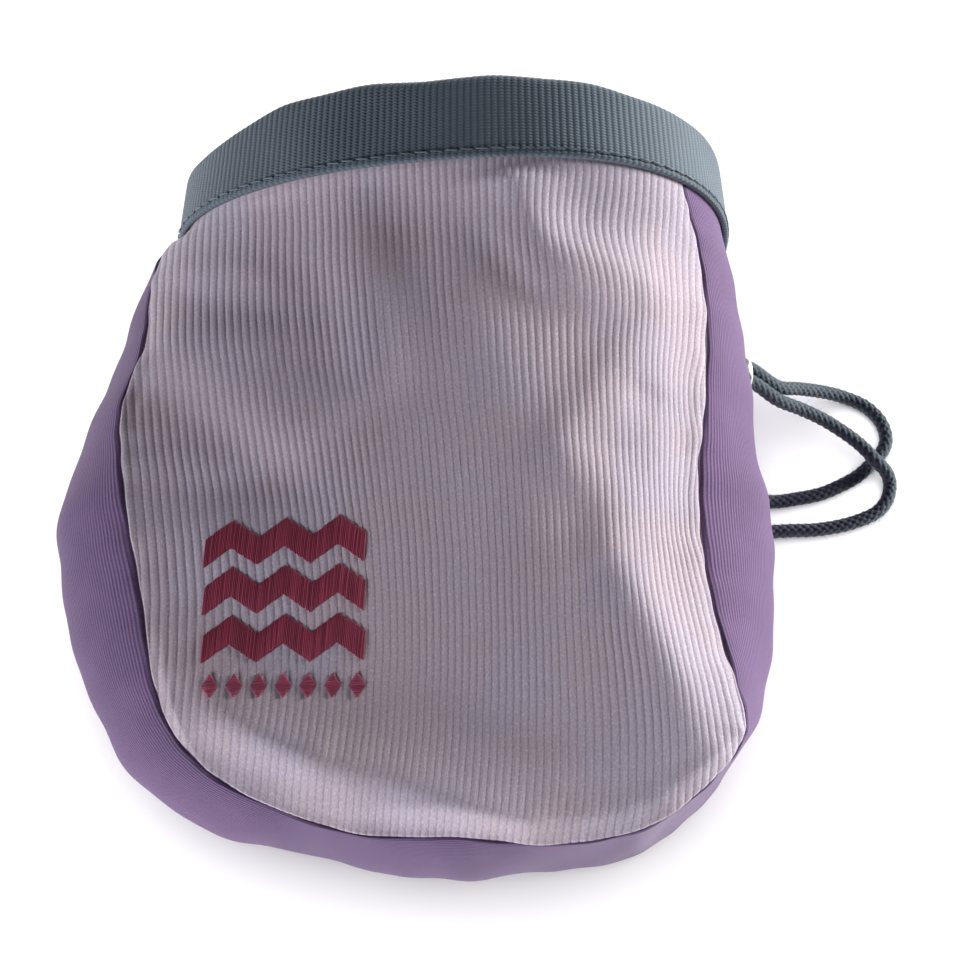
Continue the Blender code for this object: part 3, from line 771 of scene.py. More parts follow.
def cloth_shell(name, outer, inner, facing, steps, values):
    """A closed wall of cloth: its fine outer face, a coarser inner face, and the narrow rim between them.

    outer and inner are grids of points, of which the inner face takes every one in so many rows and columns.
    facing is what face_out says of the cloth. values are attributes of the points.
    """
    normals, turned = facing
    height, width = outer.shape[:2]
    rows, columns = thin_out(height - 1, steps[0]), thin_out(width - 1, steps[1])
    chosen = np.ix_(rows, columns)
    start = height * width
    faces = quads(height, width, turned).tolist()
    outside = len(faces)
    faces += (quads(len(rows), len(columns), not turned) + start).tolist()
    flat_from = len(faces)
    fine = border(range(height), range(width), width)
    wanted = border(rows, columns, width)
    coarse = border(range(len(rows)), range(len(columns)), len(columns))
    marks = {number: place for place, number in enumerate(fine)}
    for index, number in enumerate(wanted):
        following = (index + 1) % len(wanted)
        last = marks[wanted[following]] or len(fine)
        run = [fine[place % len(fine)] for place in range(marks[number], last + 1)]
        face = run[::-1] + [start + coarse[index], start + coarse[following]]
        faces.append(face[::-1] if turned else face)
    mesh = shape(name, np.concatenate([outer.reshape(-1, 3), inner[chosen].reshape(-1, 3)]), faces)
    numbers = np.arange(len(faces))
    mesh.polygons.foreach_set("use_smooth", numbers < flat_from)
    add_attribute(mesh, "lined", "BOOLEAN", "FACE", numbers >= outside)
    for key, value in {**values, "lift": normals}.items():
        tail = value.shape[2:]
        both = np.concatenate([value.reshape(-1, *tail), value[chosen].reshape(-1, *tail)])
        if key == "stand":
            both[start:] = 0
        add_attribute(mesh, key, "FLOAT_VECTOR" if tail else "FLOAT", "POINT", both)
    mesh.update()
    return mesh


def add(name, data):
    """An object in the scene."""
    made = bpy.data.objects.new(name, data)
    bpy.context.scene.collection.objects.link(made)
    return made


def settle(made):
    """Turns what an object's modifiers make into its plain mesh."""
    graph = bpy.context.evaluated_depsgraph_get()
    source = made.evaluated_get(graph)
    mesh = bpy.data.meshes.new_from_object(source, preserve_all_data_layers=True, depsgraph=graph)
    old = made.data
    made.modifiers.clear()
    made.data = mesh
    mesh.name = made.name
    if old.users == 0:
        bpy.data.meshes.remove(old)
    return made


def belong(slot, *pieces):
    """Lets pieces ride with the bag."""
    for piece in pieces:
        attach(piece, "root")


class Recipe(Graph):
    """A Geometry Nodes tree with named inputs, grouped by the kind of their sockets."""

    def __init__(self, name, **inputs):
        tree = bpy.data.node_groups.new(name, "GeometryNodeTree")
        super().__init__(tree)
        for way in ("INPUT", "OUTPUT"):
            tree.interface.new_socket("Geometry", in_out=way, socket_type="NodeSocketGeometry")
        self.names = {}
        for kind, labels in inputs.items():
            for label in labels:
                made = tree.interface.new_socket(label, in_out="INPUT", socket_type=f"NodeSocket{kind}")
                self.names[label] = made.identifier
        self.given = self.node("NodeGroupInput")

    def put_on(self, made, **values):
        """Runs the tree on an object, its inputs set by their identifiers, and keeps the plain mesh."""
        modifier = made.modifiers.new(self.tree.name, "NODES")
        modifier.node_group = self.tree
        for label, value in values.items():
            modifier[self.names[label]] = value
        return settle(made)

    def finish(self, geometry, **materials):
        """Ends the tree with real geometry, and each material on the faces that its value selects."""
        geometry = self.node("GeometryNodeRealizeInstances", None, (geometry,))[0]
        for label, chosen in materials.items():
            values = {"Geometry": geometry, "Selection": chosen, "Material": self.given[label]}
            geometry = self.node("GeometryNodeSetMaterial", None, values)[0]
        self.node("NodeGroupOutput", None, (geometry,))
        return self

    def named(self, name, kind="FLOAT"):
        """A named attribute of the geometry."""
        return self.node("GeometryNodeInputNamedAttribute", {"data_type": kind}, {"Name": name})["Attribute"]

    def store(self, geometry, name, value, domain="POINT"):
        settings = {"data_type": "FLOAT", "domain": domain}
        values = {0: geometry, "Name": name, "Value": value}
        return self.node("GeometryNodeStoreNamedAttribute", settings, values)[0]

    def move(self, geometry, way, amount):
        """Points moved an amount along a way."""
        offset = self.node("ShaderNodeVectorMath", {"operation": "SCALE"}, {0: way, "Scale": amount})[0]
        return self.node("GeometryNodeSetPosition", None, {"Geometry": geometry, "Offset": offset})[0]

    def smooth(self, geometry):
        return self.node("GeometryNodeSetShadeSmooth", None, {"Geometry": geometry})[0]

    def resample(self, line, mode, value):
        """A line with a count of points, or with points a length apart."""
        return self.node("GeometryNodeResampleCurve", {"mode": mode}, {"Curve": line, mode.title(): value})[0]

    def ring(self, sides, radius):
        """The section of a tube."""
        return self.node("GeometryNodeCurvePrimitiveCircle", None, {"Resolution": sides, "Radius": radius})[0]

    def tube(self, line, ring):
        """A section swept along a line, with closed ends."""
        values = {"Curve": line, "Profile Curve": ring, "Fill Caps": True}
        return self.node("GeometryNodeCurveToMesh", None, values)[0]

    def random(self, low, high):
        """A random number, or a vector of them, for each point or instance."""
        kind, first = ("FLOAT_VECTOR", 0) if isinstance(low, tuple) else ("FLOAT", 2)
        values = {first: low, first + 1: high, "Seed": self.given["Seed"]}
        return self.node("FunctionNodeRandomValue", {"data_type": kind}, values)[first // 2]

    def scatter(self, points, instance, rotation, scale):
        """An instance at each point."""
        values = {"Points": points, "Instance": instance, "Rotation": rotation, "Scale": scale}
        return self.node("GeometryNodeInstanceOnPoints", None, values)[0]


@cache
def rib_recipe():
    """Raises ribs on a cloth along its lift, and gives the cloth and its lining their materials."""
    recipe = Recipe("raise_ribs", Float=("Pitch", "Height", "Roundness"), Material=("Cloth", "Lining"))
    given = recipe.given
    wale = (recipe.named("rib_run") / given["Pitch"]).fraction()
    crest = (wale * math.pi).sin().larger(0.0) ** given["Roundness"]
    rise = (crest - 0.45) * given["Height"] * recipe.named("stand")
    moved = recipe.move(given["Geometry"], recipe.named("lift", "FLOAT_VECTOR"), rise)
    return recipe.finish(moved, Cloth=True, Lining=recipe.named("lined", "BOOLEAN"))


@cache
def braid_recipe():
    """A braided cord along a line: two families of strands that pass over and under each other."""
    recipe = Recipe("braid_cord", Float=("Diameter", "Lay", "Relief", "Step"), Int=("Strands", "Sides"),
                    Material=("Cord",))
    given = recipe.given
    line = recipe.node("GeometryNodeMeshToCurve", None, (given["Geometry"],))[0]
    line = recipe.resample(line, "LENGTH", given["Step"])
    line = recipe.store(line, "run", recipe.node("GeometryNodeSplineParameter")["Length"])
    ring = recipe.ring(given["Sides"], (given["Diameter"] - given["Relief"] * 0.6) / 2)
    ring = recipe.store(ring, "turn", recipe.node("GeometryNodeSplineParameter")["Factor"])
    tube = recipe.tube(line, ring)
    round_it = recipe.named("turn") * given["Strands"]
    along = recipe.named("run") / given["Lay"]
    right, left = round_it + along, round_it - along
    heights = []
    for ours, other, sign in ((right, left, 0.5), (left, right, -0.5)):
        over = ((other - 0.5) * math.pi + ours.floor() * math.pi).cos() * sign
        heights.append(over * 0.5 + ours.hump(2.0) * 0.75)
    tube = recipe.store(tube, "relief", heights[0].larger(heights[1]))
    rise = (recipe.named("relief") - 0.5) * given["Relief"]
    moved = recipe.move(tube, recipe.node("GeometryNodeInputNormal")[0], rise)
    return recipe.finish(recipe.smooth(moved), Cord=True)


@cache
def stitch_recipe():
    """One arched thread for each point, along the point's reach and standing up along its lift."""
    recipe = Recipe("sew_stitches", Float=("Width", "Arch"), Int=("Seed",), Material=("Thread",))
    given = recipe.given
    bar = recipe.node("GeometryNodeCurvePrimitiveLine", None, {"Start": (-0.5, 0, 0), "End": (0.5, 0, 0)})[0]
    bar = recipe.tube(recipe.resample(bar, "COUNT", 8), recipe.ring(6, 0.5))
    place = recipe.axes(recipe.node("GeometryNodeInputPosition")[0])
    arch = (1 - (place[0] * 2).size() ** 3.0) * given["Arch"]
    bar = recipe.smooth(recipe.move(bar, (0, 0, 1), arch))
    reach = recipe.named("reach", "FLOAT_VECTOR")
    upright = {"axis": "Z", "pivot_axis": "X"}
    turned = recipe.node("FunctionNodeAlignRotationToVector", {"axis": "X"}, {"Vector": reach})[0]
    turned = recipe.node("FunctionNodeAlignRotationToVector", upright,
                         {"Rotation": turned, "Vector": recipe.named("lift", "FLOAT_VECTOR")})[0]
    length = recipe.node("ShaderNodeVectorMath", {"operation": "LENGTH"}, {0: reach})["Value"]
    width = given["Width"] * recipe.random(0.88, 1.1)
    size = recipe.node("ShaderNodeCombineXYZ", None, (length, width, width))[0]
    sewn = recipe.scatter(given["Geometry"], bar, turned, size)
    return recipe.finish(recipe.store(sewn, "tone", recipe.random(0.0, 1.0), "INSTANCE"), Thread=True)


@cache
def fuzz_recipe():
    """Short stray fibres scattered over a piece, but not under it."""
    recipe = Recipe("scatter_fibres", Float=("Density", "Length", "Thickness"), Int=("Seed",),
                    Material=("Fibre",))
    given = recipe.given
    facing = recipe.axes(recipe.node("GeometryNodeInputNormal")[0])[2]
    dots = recipe.node("GeometryNodeDistributePointsOnFaces", None, {
        "Mesh": given["Geometry"], "Selection": facing.math("GREATER_THAN", facing, -0.3),
        "Density": given["Density"], "Seed": given["Seed"],
    })
    bend = {"Start": (0, 0, 0), "Middle": (0.1, 0, 0.6), "End": (0.6, 0.1, 0.9), "Resolution": 4}
    hair = recipe.node("GeometryNodeCurveQuadraticBezier", None, bend)[0]
    hair = recipe.tube(hair, recipe.ring(3, given["Thickness"]))
    spin = recipe.random((-0.9, -0.9, 0), (0.9, 0.9, 6.28))
    spin = recipe.node("FunctionNodeEulerToRotation", None, (spin,))[0]
    turned = recipe.node("FunctionNodeRotateRotation", {"rotation_space": "LOCAL"},
                         {"Rotation": dots["Rotation"], "Rotate By": spin})[0]
    length = recipe.random(0.4, 1.0) * given["Length"]
    return recipe.finish(recipe.scatter(dots["Points"], hair, turned, length), Fibre=True)


def sew(name, middles, reaches, lifts, width, arch, seed, thread):
    """Stitches as one piece."""
    mesh = shape(name, middles)
    add_attribute(mesh, "reach", "FLOAT_VECTOR", "POINT", reaches)
    add_attribute(mesh, "lift", "FLOAT_VECTOR", "POINT", lifts)
    return stitch_recipe().put_on(add(name, mesh), Width=width, Arch=arch, Seed=seed, Thread=thread)


def panel_tops(turns, shares, rows):
    """The panel's part under the band, as rows from inside the band to its lower edge."""
    places = np.linspace(PANEL_TOP_Y, CUFF_Y, rows + 1)[:-1]
    return rim_point((turns[0] + (turns[1] - turns[0]) * shares)[None, :], places[:, None])


@cache
def panel_points(surface, turns, columns, rows):
    """A panel's shares across and down, and its points, with the rows under the band first."""
    across = np.linspace(0, 1, columns + 1)
    near_seam = np.array([0.0135, 0.0106, 0.0078, 0.0052, 0.003, 0.0012, 0.00015]) * 0.15 / BODY_LENGTH
    down = np.concatenate([np.linspace(0, 1, rows + 1)[:-3], 1 - near_seam, [1.0]])
    return across, down, np.concatenate([panel_tops(turns, across, PANEL_TUCK_ROWS), surface(across, down)])


def build_panel(name, surface, turns, edge, fineness, steps, values_of):
    """A panel with its seams turned in and puckered, and its top under the band."""
    _across, down, grid = panel_points(surface, turns, *fineness)
    facing = face_out(grid)
    normals = facing[0]
    away, place, inward = beside_seam(grid, normals, edge)
    free = np.concatenate([np.zeros(PANEL_TUCK_ROWS), ramp(down / 0.05)])[:, None]
    pucker = gather(place * STATION_MM, away * 1000, 3 + int(edge), 0.0006, 5.0) * free
    outer_move, inner_move = turn_in(edge, place, away, inward, normals, pucker)
    inner = grid - normals * CLOTH + inner_move
    return add(name, cloth_shell(name, grid + outer_move, inner, facing, steps, values_of(grid, down)))


def zigzag_middle(x_mm, row_mm):
    """The height of a zigzag band's middle line."""
    share = (x_mm - ZIGZAG_X_MM[0]) / (ZIGZAG_X_MM[1] - ZIGZAG_X_MM[0]) * ZIGZAG_PERIODS
    return row_mm + ZIGZAG_RISE_MM * (1 - 4 * np.abs((share % 1) - 0.5))


def lozenge_middles():
    """Where the lozenges' middles are, along X in millimetres."""
    half = LOZENGE_SIZE_MM[0] / 2
    return np.linspace(ZIGZAG_X_MM[0] + half, ZIGZAG_X_MM[1] - half, LOZENGE_COUNT)


def sewn_share(x_mm, y_mm):
    """1 where the ornament is sewn and 0 away from it."""
    inside = ramp((x_mm - ZIGZAG_X_MM[0] + 0.6) / 0.6) * ramp((ZIGZAG_X_MM[1] + 0.6 - x_mm) / 0.6)
    total = np.zeros_like(x_mm)
    for row in ZIGZAG_ROWS_MM:
        away = np.abs(y_mm - zigzag_middle(x_mm, row)) - ZIGZAG_BREADTH_MM / 2
        total = np.maximum(total, inside * (1 - ramp(away / 0.7)))
    for middle in lozenge_middles():
        away = np.abs(x_mm - middle) / LOZENGE_SIZE_MM[0] + np.abs(y_mm - LOZENGE_ROW_MM) / LOZENGE_SIZE_MM[1]
        total = np.maximum(total, 1 - ramp((away - 0.5) / 0.2))
    return total


def cloth_values(along, across, stand=0.0):
    """A cloth's attributes from its own coordinates in millimetres, and from how free its ribs stand."""
    along, across, stand = np.broadcast_arrays(along, across, stand)
    cloth = np.stack([along, across, np.zeros_like(along)], axis=-1)
    return {"cloth": cloth, "rib_run": along / 1000, "stand": stand}


def corduroy_values(grid, down):
    """The corduroy's ribs run down the bag, stray sideways, and lie flat under the band and the ornament."""
    x, y = grid[..., 0] * 1000, grid[..., 1] * 1000
    run = x + 0.12 * uneven(y + 0.3 * x, (13.0, 23.0, 41.0), 11)
    for middle_x, middle_y, reach_x, reach_y, shift in STRAYS_MM:
        run += shift * np.exp(-((x - middle_x) / reach_x) ** 2 - ((y - middle_y) / reach_y) ** 2)
    under = 0.45 + 0.55 * ramp(np.concatenate([np.zeros(PANEL_TUCK_ROWS), down])[:, None] / 0.012)
    worn = 0.94 + 0.06 * uneven(x + 0.7 * y, (17.0, 31.0, 47.0), 12)
    return cloth_values(run, y, under * worn * (1 - 0.7 * sewn_share(x, y)))


def twill_values(grid, _down):
    """The twill's lines run across the bag."""
    return cloth_values(grid[..., 1] * 1000, grid[..., 0] * 1000)


def dress(made, cloth, pitch=1.0, height=0.0, roundness=2.0):
    """Raises a cloth's ribs and gives it its materials."""
    return rib_recipe().put_on(made, Pitch=pitch, Height=height, Roundness=roundness, Cloth=cloth,
                               Lining=lining_finish())


def eyelet_frame():
    """The eyelet's place on the gusset: its Z axis points out of the cloth and its X axis along the strip."""
    step = 0.02

    def at(place, across):
        return Vector(gusset_surface([place], [across])[0, 0])

    centre = at(EYELET_STATION, EYELET_ACROSS)
    along = at(EYELET_STATION + step, EYELET_ACROSS) - at(EYELET_STATION - step, EYELET_ACROSS)
    across = at(EYELET_STATION, EYELET_ACROSS + step) - at(EYELET_STATION, EYELET_ACROSS - step)
    out = along.cross(across).normalized()
    if out.x < 0:
        out.negate()
    along.normalize()
    return Matrix.Translation(centre) @ Matrix((along, out.cross(along), out)).transposed().to_4x4()


def strand_path(route, side):
    """One strand's centre line, from the eyelet's bore to the knot, a point every half millimetre or so."""
    place = eyelet_frame()
    lane = side * (CORD + GAP / 2) / 2
    start = [place @ Vector((lane, 0, height)) for height in (-CLOTH, EYELET_METAL + CORD)]
    points = [np.array(point) for point in [*start, *route]]
    knot = np.array((*KNOT_PLACE, KNOT / 2))
    points.append(knot + unit(points[-1] - knot) * (KNOT / 2 + 2 * GAP))
    count = CORD_STEPS * (len(points) - 1) + 1
    return np.array([through(points, number / CORD_STEPS) for number in range(count)])


def knot_path():
    """The cord's way through the knot: round twice and through itself."""
    turn = np.linspace(0, 2 * np.pi, KNOT_STEPS)
    out = 0.0021 + 0.0011 * np.cos(1.5 * turn * 2)
    x = KNOT_PLACE[0] + out * np.cos(2 * turn)
    y = KNOT_PLACE[1] + out * np.sin(2 * turn) * 1.05
    z = KNOT / 2 + 0.0019 * np.sin(3 * turn)
    return np.stack([x, y, z], axis=-1)


def braid(name, points):
    """A braided cord along a line of points."""
    sizes = bpy.context.scene.chalk_bag_drawcord
    edges = [(index, index + 1) for index in range(len(points) - 1)]
    return braid_recipe().put_on(
        add(name, shape(name, points, edges=edges)), Diameter=CORD, Lay=sizes.lay, Relief=sizes.relief,
        Step=BRAID_STEP, Strands=sizes.strands, Sides=sizes.strands * 6, Cord=braid_finish())


def fuzz(name, source, seed):
    """Stray fibres on a piece, as a piece of its own."""
    made = add(name, source.data.copy())
    made.data.materials.clear()
    return fuzz_recipe().put_on(made, Density=FIBRE_DENSITY, Length=FIBRE_LENGTH, Thickness=FIBRE_THICKNESS,
                                Seed=seed, Fibre=braid_finish())


def run_along(points):
    """How far along a line each of its points is."""
    return np.concatenate([[0], np.cumsum(np.linalg.norm(np.diff(points, axis=0), axis=-1))])


class ChalkBagCloth(PropertyGroup):
    """Sizes and colours of the bag's cloths."""

    rib_pitch: FloatProperty(
        name="Rib pitch", description="From one corduroy rib to the next", default=0.0018, unit="LENGTH")
    rib_height: FloatProperty(
        name="Rib height", description="Height of the corduroy's ribs", default=0.00016, unit="LENGTH")
    twill_pitch: FloatProperty(
        name="Twill pitch", description="Between the twill's lines", default=0.0006, unit="LENGTH")
    corduroy: FloatVectorProperty(
        name="Corduroy", description="The front panel", default=colour(198, 187, 203), subtype="COLOR")
    # Colour of the ground between the corduroy's ribs, darker as painted shade in the grooves.
    groove_shade: FloatVectorProperty(
        name="Grooves", description="Between the ribs", default=colour(175, 158, 174), subtype="COLOR")
    twill: FloatVectorProperty(
        name="Twill", description="The sides and the back", default=colour(130, 101, 145), subtype="COLOR")
    lining: FloatVectorProperty(
        name="Lining", description="The fleece inside", default=colour(196, 192, 198), subtype="COLOR")


class ChalkBagTrim(PropertyGroup):
    """Sizes and colours of the band round the mouth and of the sewn ornament."""

    webbing_pitch: FloatProperty(
        name="Webbing pitch", description="Between the webbing's ribs", default=0.00153, unit="LENGTH")
    webbing_height: FloatProperty(
        name="Webbing relief", description="Height of the webbing's ribs", default=0.0001, unit="LENGTH")
    webbing: FloatVectorProperty(
        name="Webbing", description="The band", default=colour(95, 110, 122), subtype="COLOR")
    # Colour of the painted highlight on the band's raised yarns.
    webbing_highlight: FloatVectorProperty(
        name="Highlights", description="The band's raised yarns", default=colour(160, 174, 182),
        subtype="COLOR")
    thread: FloatVectorProperty(
        name="Thread", description="The zigzag bands", default=colour(178, 52, 88), subtype="COLOR")
    border_thread: FloatVectorProperty(
        name="Border thread", description="The row of lozenges", default=colour(190, 75, 112),
        subtype="COLOR")
    thread_width: FloatProperty(
        name="Thread width", description="Width of the ornament's thread", default=0.00044, unit="LENGTH")


class ChalkBagDrawcord(PropertyGroup):
    """Sizes and colour of the braided drawcord."""

    colour: FloatVectorProperty(
        name="Cord", description="Colour of the drawcord", default=colour(97, 108, 117), subtype="COLOR")
    strands: IntProperty(name="Strands", description="Strands of the braid each way", default=6, min=3)
    lay: FloatProperty(
        name="Lay", description="Length of one crossing of the braid", default=0.0019, unit="LENGTH")
    relief: FloatProperty(
        name="Relief", description="How far the strands stand out", default=0.00055, unit="LENGTH")


class CHALKBAG_OT_stage(Operator):
    """Makes the floor, the soft studio light and the camera"""

    bl_idname = "chalk_bag.stage"
    bl_label = "Stage"

    def execute(self, context):
        scene = context.scene
        camera = bpy.data.cameras.new("camera")
        camera.sensor_width = SENSOR_MM
        camera.lens = FOCUS_PIXELS / PHOTO_PIXELS * SENSOR_MM
        camera.clip_start = 0.01
        holder = add("camera", camera)
        tilt = math.radians(CAMERA_TILT)
        ahead = Vector((0, math.cos(tilt), -math.sin(tilt)))
        holder.location = Vector(CAMERA_AIM) - ahead * CAMERA_DISTANCE
        holder.rotation_euler = ahead.to_track_quat("-Z", "Y").to_euler()
        scene.camera = holder
        around = ((-1, -1), (1, -1), (1, 1), (-1, 1))
        corners = [(x * FLOOR_REACH, y * FLOOR_REACH, FLOOR_LEVEL) for x, y in around]
        floor = add("floor", shape("floor", corners, [(0, 1, 2, 3)]))
        floor.data.materials.append(floor_finish())
        world = bpy.data.worlds.new("studio")
        world.use_nodes = True
        background = world.node_tree.nodes["Background"]
        background.inputs["Color"].default_value = (1.0, 0.9, 0.94, 1)
        background.inputs["Strength"].default_value = 0.06
        scene.world = world
        scene.view_settings.view_transform = "Standard"
        for name, heading, height, strength, spread, shade, on_floor in LAMPS:
            lamp = bpy.data.lights.new(name, "SUN")
            lamp.energy = strength
            lamp.angle = math.radians(spread)
            lamp.color = shade
            made = add(name, lamp)
            turn, rise = math.radians(heading), math.radians(height)
            level = math.cos(rise)
            source = Vector((level * math.cos(turn), level * math.sin(turn), math.sin(rise)))
            made.rotation_euler = source.to_track_quat("Z", "Y").to_euler()
            reach = bpy.data.collections.new(f"{name}_reach")
            reach.objects.link(floor)
            if not on_floor:
                reach.collection_objects[0].light_linking.link_state = "EXCLUDE"
            made.light_linking.receiver_collection = reach
        return {"FINISHED"}


class CHALKBAG_OT_drawcord(Operator):
    """Makes the two strands of the drawcord, their knot and the eyelet that they leave by"""

    bl_idname = "chalk_bag.drawcord"
    bl_label = "Drawcord and eyelet"

    def execute(self, context):
        eyelet = add("eyelet_ring", self.ring())
        eyelet.data.materials.append(metal_finish())
        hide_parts("eyelet")
        belong("silver_metal", eyelet)
        knot = braid("cord_knot_braid", knot_path())
        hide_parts("cord_knot")
        belong("slate_cord", knot)
        for name, route, side, extra in (
            ("drawcord_upper", UPPER_STRAND, 1, [eyelet, knot]),
            ("drawcord_lower", LOWER_STRAND, -1, []),
        ):
            path = strand_path(route, side)
            made = braid(f"{name}_braid", path)
            fibres = fuzz(f"{name}_fibres", made, 20 + side)
            belong("slate_cord", made, fibres)
            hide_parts(name)
            path[0]
            float(run_along(path)[-1])
            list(extra)
        return {"FINISHED"}

    def ring(self):
        """The pressed ring, turned from its section."""
        bore = EYELET_BORE / 2
        barrel = bore + EYELET_METAL
        rim = barrel + EYELET_FLANGE
        top, low = GAP, -CLOTH - 4 * GAP
        section = [(bore + 0.0004 * (1 - math.cos(t)), top + 0.0019 * math.sin(t))
                   for t in np.linspace(0.2, 1.3, 5)]
        section += [(rim + 0.0002 - EYELET_FLANGE * 0.55 * (1 - math.sin(t)), top + 0.002 * math.cos(t))
                    for t in np.linspace(0.25, 1.45, 7)]
        section += [(rim - 0.0001, top), (barrel, top), (barrel, low), (rim, low),
                    (rim, low - EYELET_METAL), (bore, low - EYELET_METAL)]
        turns = np.arange(RING_STEPS)[:, None] * 2 * np.pi / RING_STEPS
        radii, heights = np.array(section).T
        grid = np.stack(np.broadcast_arrays(radii * np.cos(turns), radii * np.sin(turns), heights), axis=-1)
        place = np.array(eyelet_frame())
        mesh = hoop("eyelet_ring", grid @ place[:3, :3].T + place[:3, 3])
        mesh.set_sharp_from_angle(angle=math.radians(40))
        return outward(mesh)


def outward(mesh):
    """Turns a closed mesh's faces out if its volume comes out negative."""
    mesh.calc_loop_triangles()
    points = np.empty(len(mesh.vertices) * 3)
    mesh.vertices.foreach_get("co", points)
    corners = np.empty(len(mesh.loop_triangles) * 3, int)
    mesh.loop_triangles.foreach_get("vertices", corners)
    a, b, c = points.reshape(-1, 3)[corners.reshape(-1, 3)].transpose(1, 0, 2)
    if np.sum(a * np.cross(b, c)) < 0:
        mesh.flip_normals()
    return mesh


class CHALKBAG_OT_front_panel(Operator):
    """Makes the corduroy front panel with its ribs, folds and seams"""

    bl_idname = "chalk_bag.front_panel"
    bl_label = "Front panel"

    def execute(self, context):
        cloth = context.scene.chalk_bag_cloth
        made = build_panel("front_panel_corduroy", front_surface, FRONT_SEAM_TURNS, 0.0,
                           (PANEL_COLUMNS, PANEL_ROWS), (5, 12), corduroy_values)
        dress(made, corduroy_finish(), cloth.rib_pitch, cloth.rib_height, 0.7)
        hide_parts("front_panel")
        belong("lavender_corduroy", made)
        return {"FINISHED"}


class CHALKBAG_OT_twill(Operator):
    """Makes the twill strip round the sides and the closed end, and the twill back panel"""

    bl_idname = "chalk_bag.twill"
    bl_label = "Gusset and back panel"

    def execute(self, context):
        back = build_panel("back_panel_twill", back_surface, BACK_SEAM_TURNS, 1.0,
                           (BACK_COLUMNS, BACK_ROWS), (5, 4), twill_values)
        dress(back, twill_finish())
        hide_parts("back_panel")
        gusset = add("gusset_twill", self.strip())
        dress(gusset, twill_finish())
        self.cut_hole(gusset)
        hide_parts("gusset")
        belong("purple_twill", back, gusset)
        return {"FINISHED"}

    def strip(self):
        """The gusset as a closed wall, with both long edges turned into their seams."""
        fine = np.array([0.0, 0.003, 0.008, 0.014, 0.021, 0.029])
        middle = np.linspace(0.038, 0.962, STRIP_COLUMNS - 11)
        across = np.concatenate([fine, middle, 1 - fine[::-1]])
        places = np.linspace(0, LAST_STATION, STRIP_STEPS * LAST_STATION + 1)
        turns = [(FRONT_SEAM_TURNS[side], BACK_SEAM_TURNS[side] - 360 * side) for side in (0, 1)]
        ends = [panel_tops(pair, across, STRIP_TUCK_ROWS) for pair in turns]
        grid = np.concatenate([ends[0], gusset_surface(places, across), ends[1][::-1]])
        place = np.pad(places, STRIP_TUCK_ROWS, "edge")[:, None]
        facing = face_out(grid)
        normals = facing[0]
        steps = np.linalg.norm(np.diff(grid, axis=0), axis=-1).mean(axis=1)
        run = np.concatenate([[0], np.cumsum(steps)])[:, None] * 1000
        girth = np.linalg.norm(np.diff(grid, axis=1), axis=-1).sum(axis=1)[:, None]
        a = across[None, :]
        free = ramp(np.minimum(place, LAST_STATION - place) / 0.6)
        wrinkles = uneven(run + 14 * a, (29.0, 43.0, 61.0), 31) * 0.0009
        wrinkles += uneven(run - 9 * a, (13.0, 19.0), 32) * 0.0003
        centre = np.array(eyelet_frame().translation)
        calm = 1 - np.exp(-(np.linalg.norm(grid - centre, axis=-1) / 0.009) ** 4)
        moved = grid + normals * (wrinkles * np.sin(np.pi * a) * free * calm)[..., None]
        inner = moved - normals * CLOTH
        side = unit(np.gradient(grid, axis=1))
        for edge, away, inward, seed in ((0.0, a * girth, side, 41), (1.0, (1 - a) * girth, -side, 43)):
            pucker = gather(place * STATION_MM, away * 1000, seed, 0.0004, 6.0) * free
            outer_move, inner_move = turn_in(edge, place, away, inward, normals, pucker)
            moved += outer_move
            inner += inner_move
        return cloth_shell("gusset_twill", moved, inner, facing, (4, 4), cloth_values(run, a * 50))

    def cut_hole(self, made):
        """Cuts the eyelet's hole through the cloth."""
        radius = EYELET_BORE / 2 + EYELET_METAL + GAP
        turns = np.arange(HOLE_STEPS) * 2 * np.pi / HOLE_STEPS
        ring = np.stack([radius * np.cos(turns), radius * np.sin(turns)], axis=-1)
        place = eyelet_frame()
        points = [place @ Vector((x, y, height)) for height in (-0.006, 0.006) for x, y in ring]
        near = list(range(HOLE_STEPS))
        far = [HOLE_STEPS + number for number in near]
        faces = [near, far[::-1], *zip(near, near[1:] + near[:1], far[1:] + far[:1], far)]
        cutter = add("eyelet_cutter", outward(shape("eyelet_cutter", points, faces)))
        hole = made.modifiers.new("hole", "BOOLEAN")
        hole.operation = "DIFFERENCE"
        hole.object = cutter
        settle(made)
        bpy.data.objects.remove(cutter)


